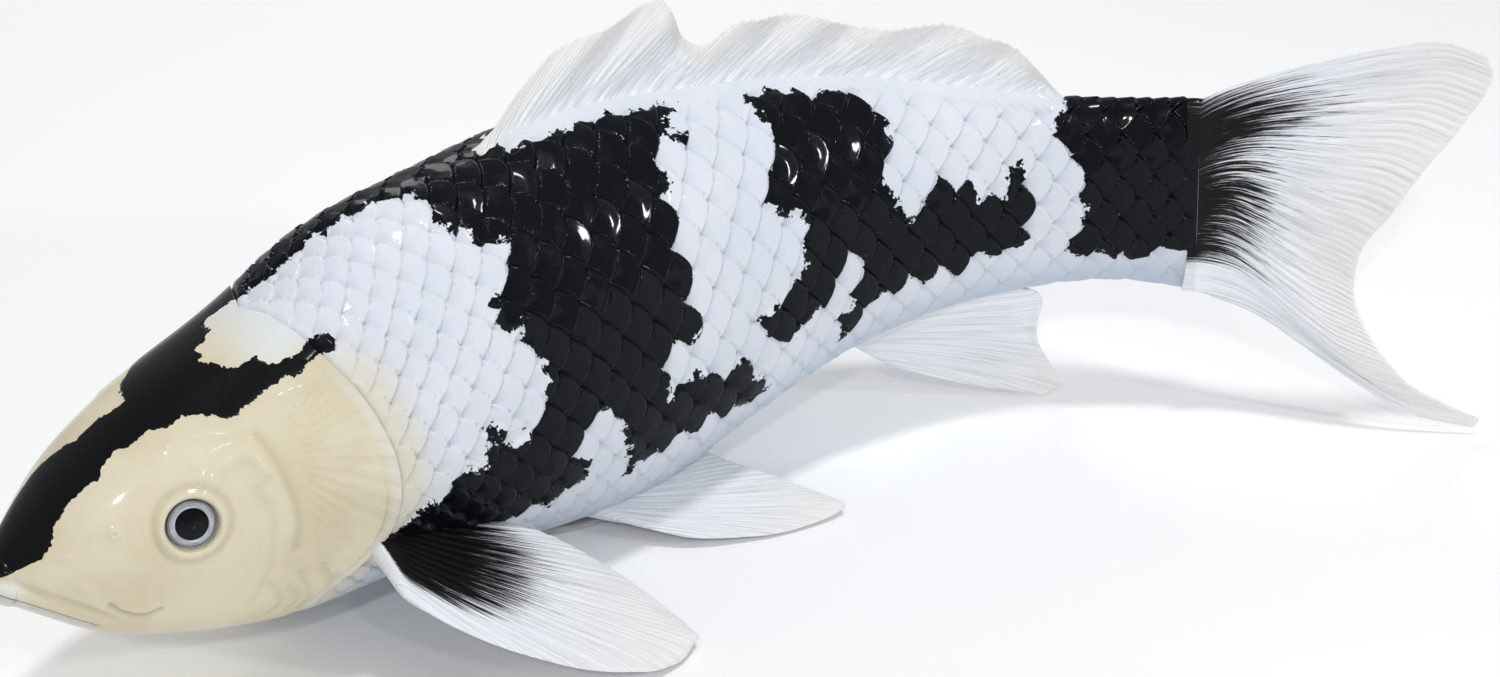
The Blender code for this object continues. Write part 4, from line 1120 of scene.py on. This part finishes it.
def make_camera():
    azimuth, elevation = math.radians(VIEW_AZIMUTH), math.radians(VIEW_ELEVATION)
    level = math.cos(elevation)
    forward = Vector((-math.sin(azimuth) * level, math.cos(azimuth) * level, -math.sin(elevation)))
    camera = bpy.data.objects.new("camera", bpy.data.cameras.new("camera"))
    turn = forward.to_track_quat("-Z", "Y") @ Matrix.Rotation(math.radians(VIEW_ROLL), 3, "Z").to_quaternion()
    camera.rotation_euler = turn.to_euler()
    camera.location = Vector(VIEW_TARGET) - forward * VIEW_DISTANCE
    camera.data.lens = LENS
    camera.data.sensor_width = SENSOR
    camera.data.clip_start = 0.01
    bpy.context.scene.collection.objects.link(camera)
    bpy.context.scene.camera = camera


def make_floor():
    mesh = bpy.data.meshes.new("floor")
    corners = [(x * FLOOR_HALF, y * FLOOR_HALF, 0) for x, y in ((-1, -1), (1, -1), (1, 1), (-1, 1))]
    mesh.from_pydata(corners, [], [(0, 1, 2, 3)])
    look = Look("floor_paper", Roughness=0.9)
    tone = look.mix(look.noise(look.place(), 3.0), (0.97, 0.97, 0.97, 1), (0.99, 0.99, 0.99, 1))
    look.set("Base Color", tone)
    look.shader.inputs["Specular IOR Level"].default_value = 0.1
    mesh.materials.append(look.material)
    floor = bpy.data.objects.new("floor", mesh)
    bpy.context.scene.collection.objects.link(floor)


def add_light(name, spot, size, power, colour):
    light = bpy.data.lights.new(name, "AREA")
    light.shape = "RECTANGLE"
    light.size, light.size_y = size
    light.energy = power
    light.color = colour
    obj = bpy.data.objects.new(name, light)
    obj.location = spot
    obj.rotation_euler = (Vector(LIGHT_TARGET) - Vector(spot)).to_track_quat("-Z", "Y").to_euler()
    bpy.context.scene.collection.objects.link(obj)


def make_lights():
    for light in LIGHTS:
        add_light(*light)
    world = bpy.data.worlds.new("studio")
    world.use_nodes = True
    background = world.node_tree.nodes["Background"]
    background.inputs["Color"].default_value = SKY_COLOUR
    background.inputs["Strength"].default_value = SKY_STRENGTH
    bpy.context.scene.world = world
    bpy.context.scene.view_settings.view_transform = "Standard"


make_camera()
make_floor()
make_lights()
fin_look = fin_finish()
make_head(head_finish())
make_jaw(lip_finish())
make_eyes(iris_finish(), pupil_finish(), glass_finish())
make_body(body_finish())
make_dorsal(fin_look)
make_caudal(fin_look)
make_anal(fin_look)
for fin_side, fin_word in ((1, "left"), (-1, "right")):
    make_paired("pectoral", fin_word, PECTORAL, fin_side, fin_look, 1.9, 0.0)
    make_paired("pelvic", fin_word, PELVIC, fin_side, fin_look, 1.7, -1.6)
make_pad(felt_finish())
steel_nodes = [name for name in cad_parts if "_pin" in name or "dowel" in name]
dress(steel_nodes, steel_finish())
dress(["neck_sleeve"], resin_finish())

bpy.context.view_layer.update()
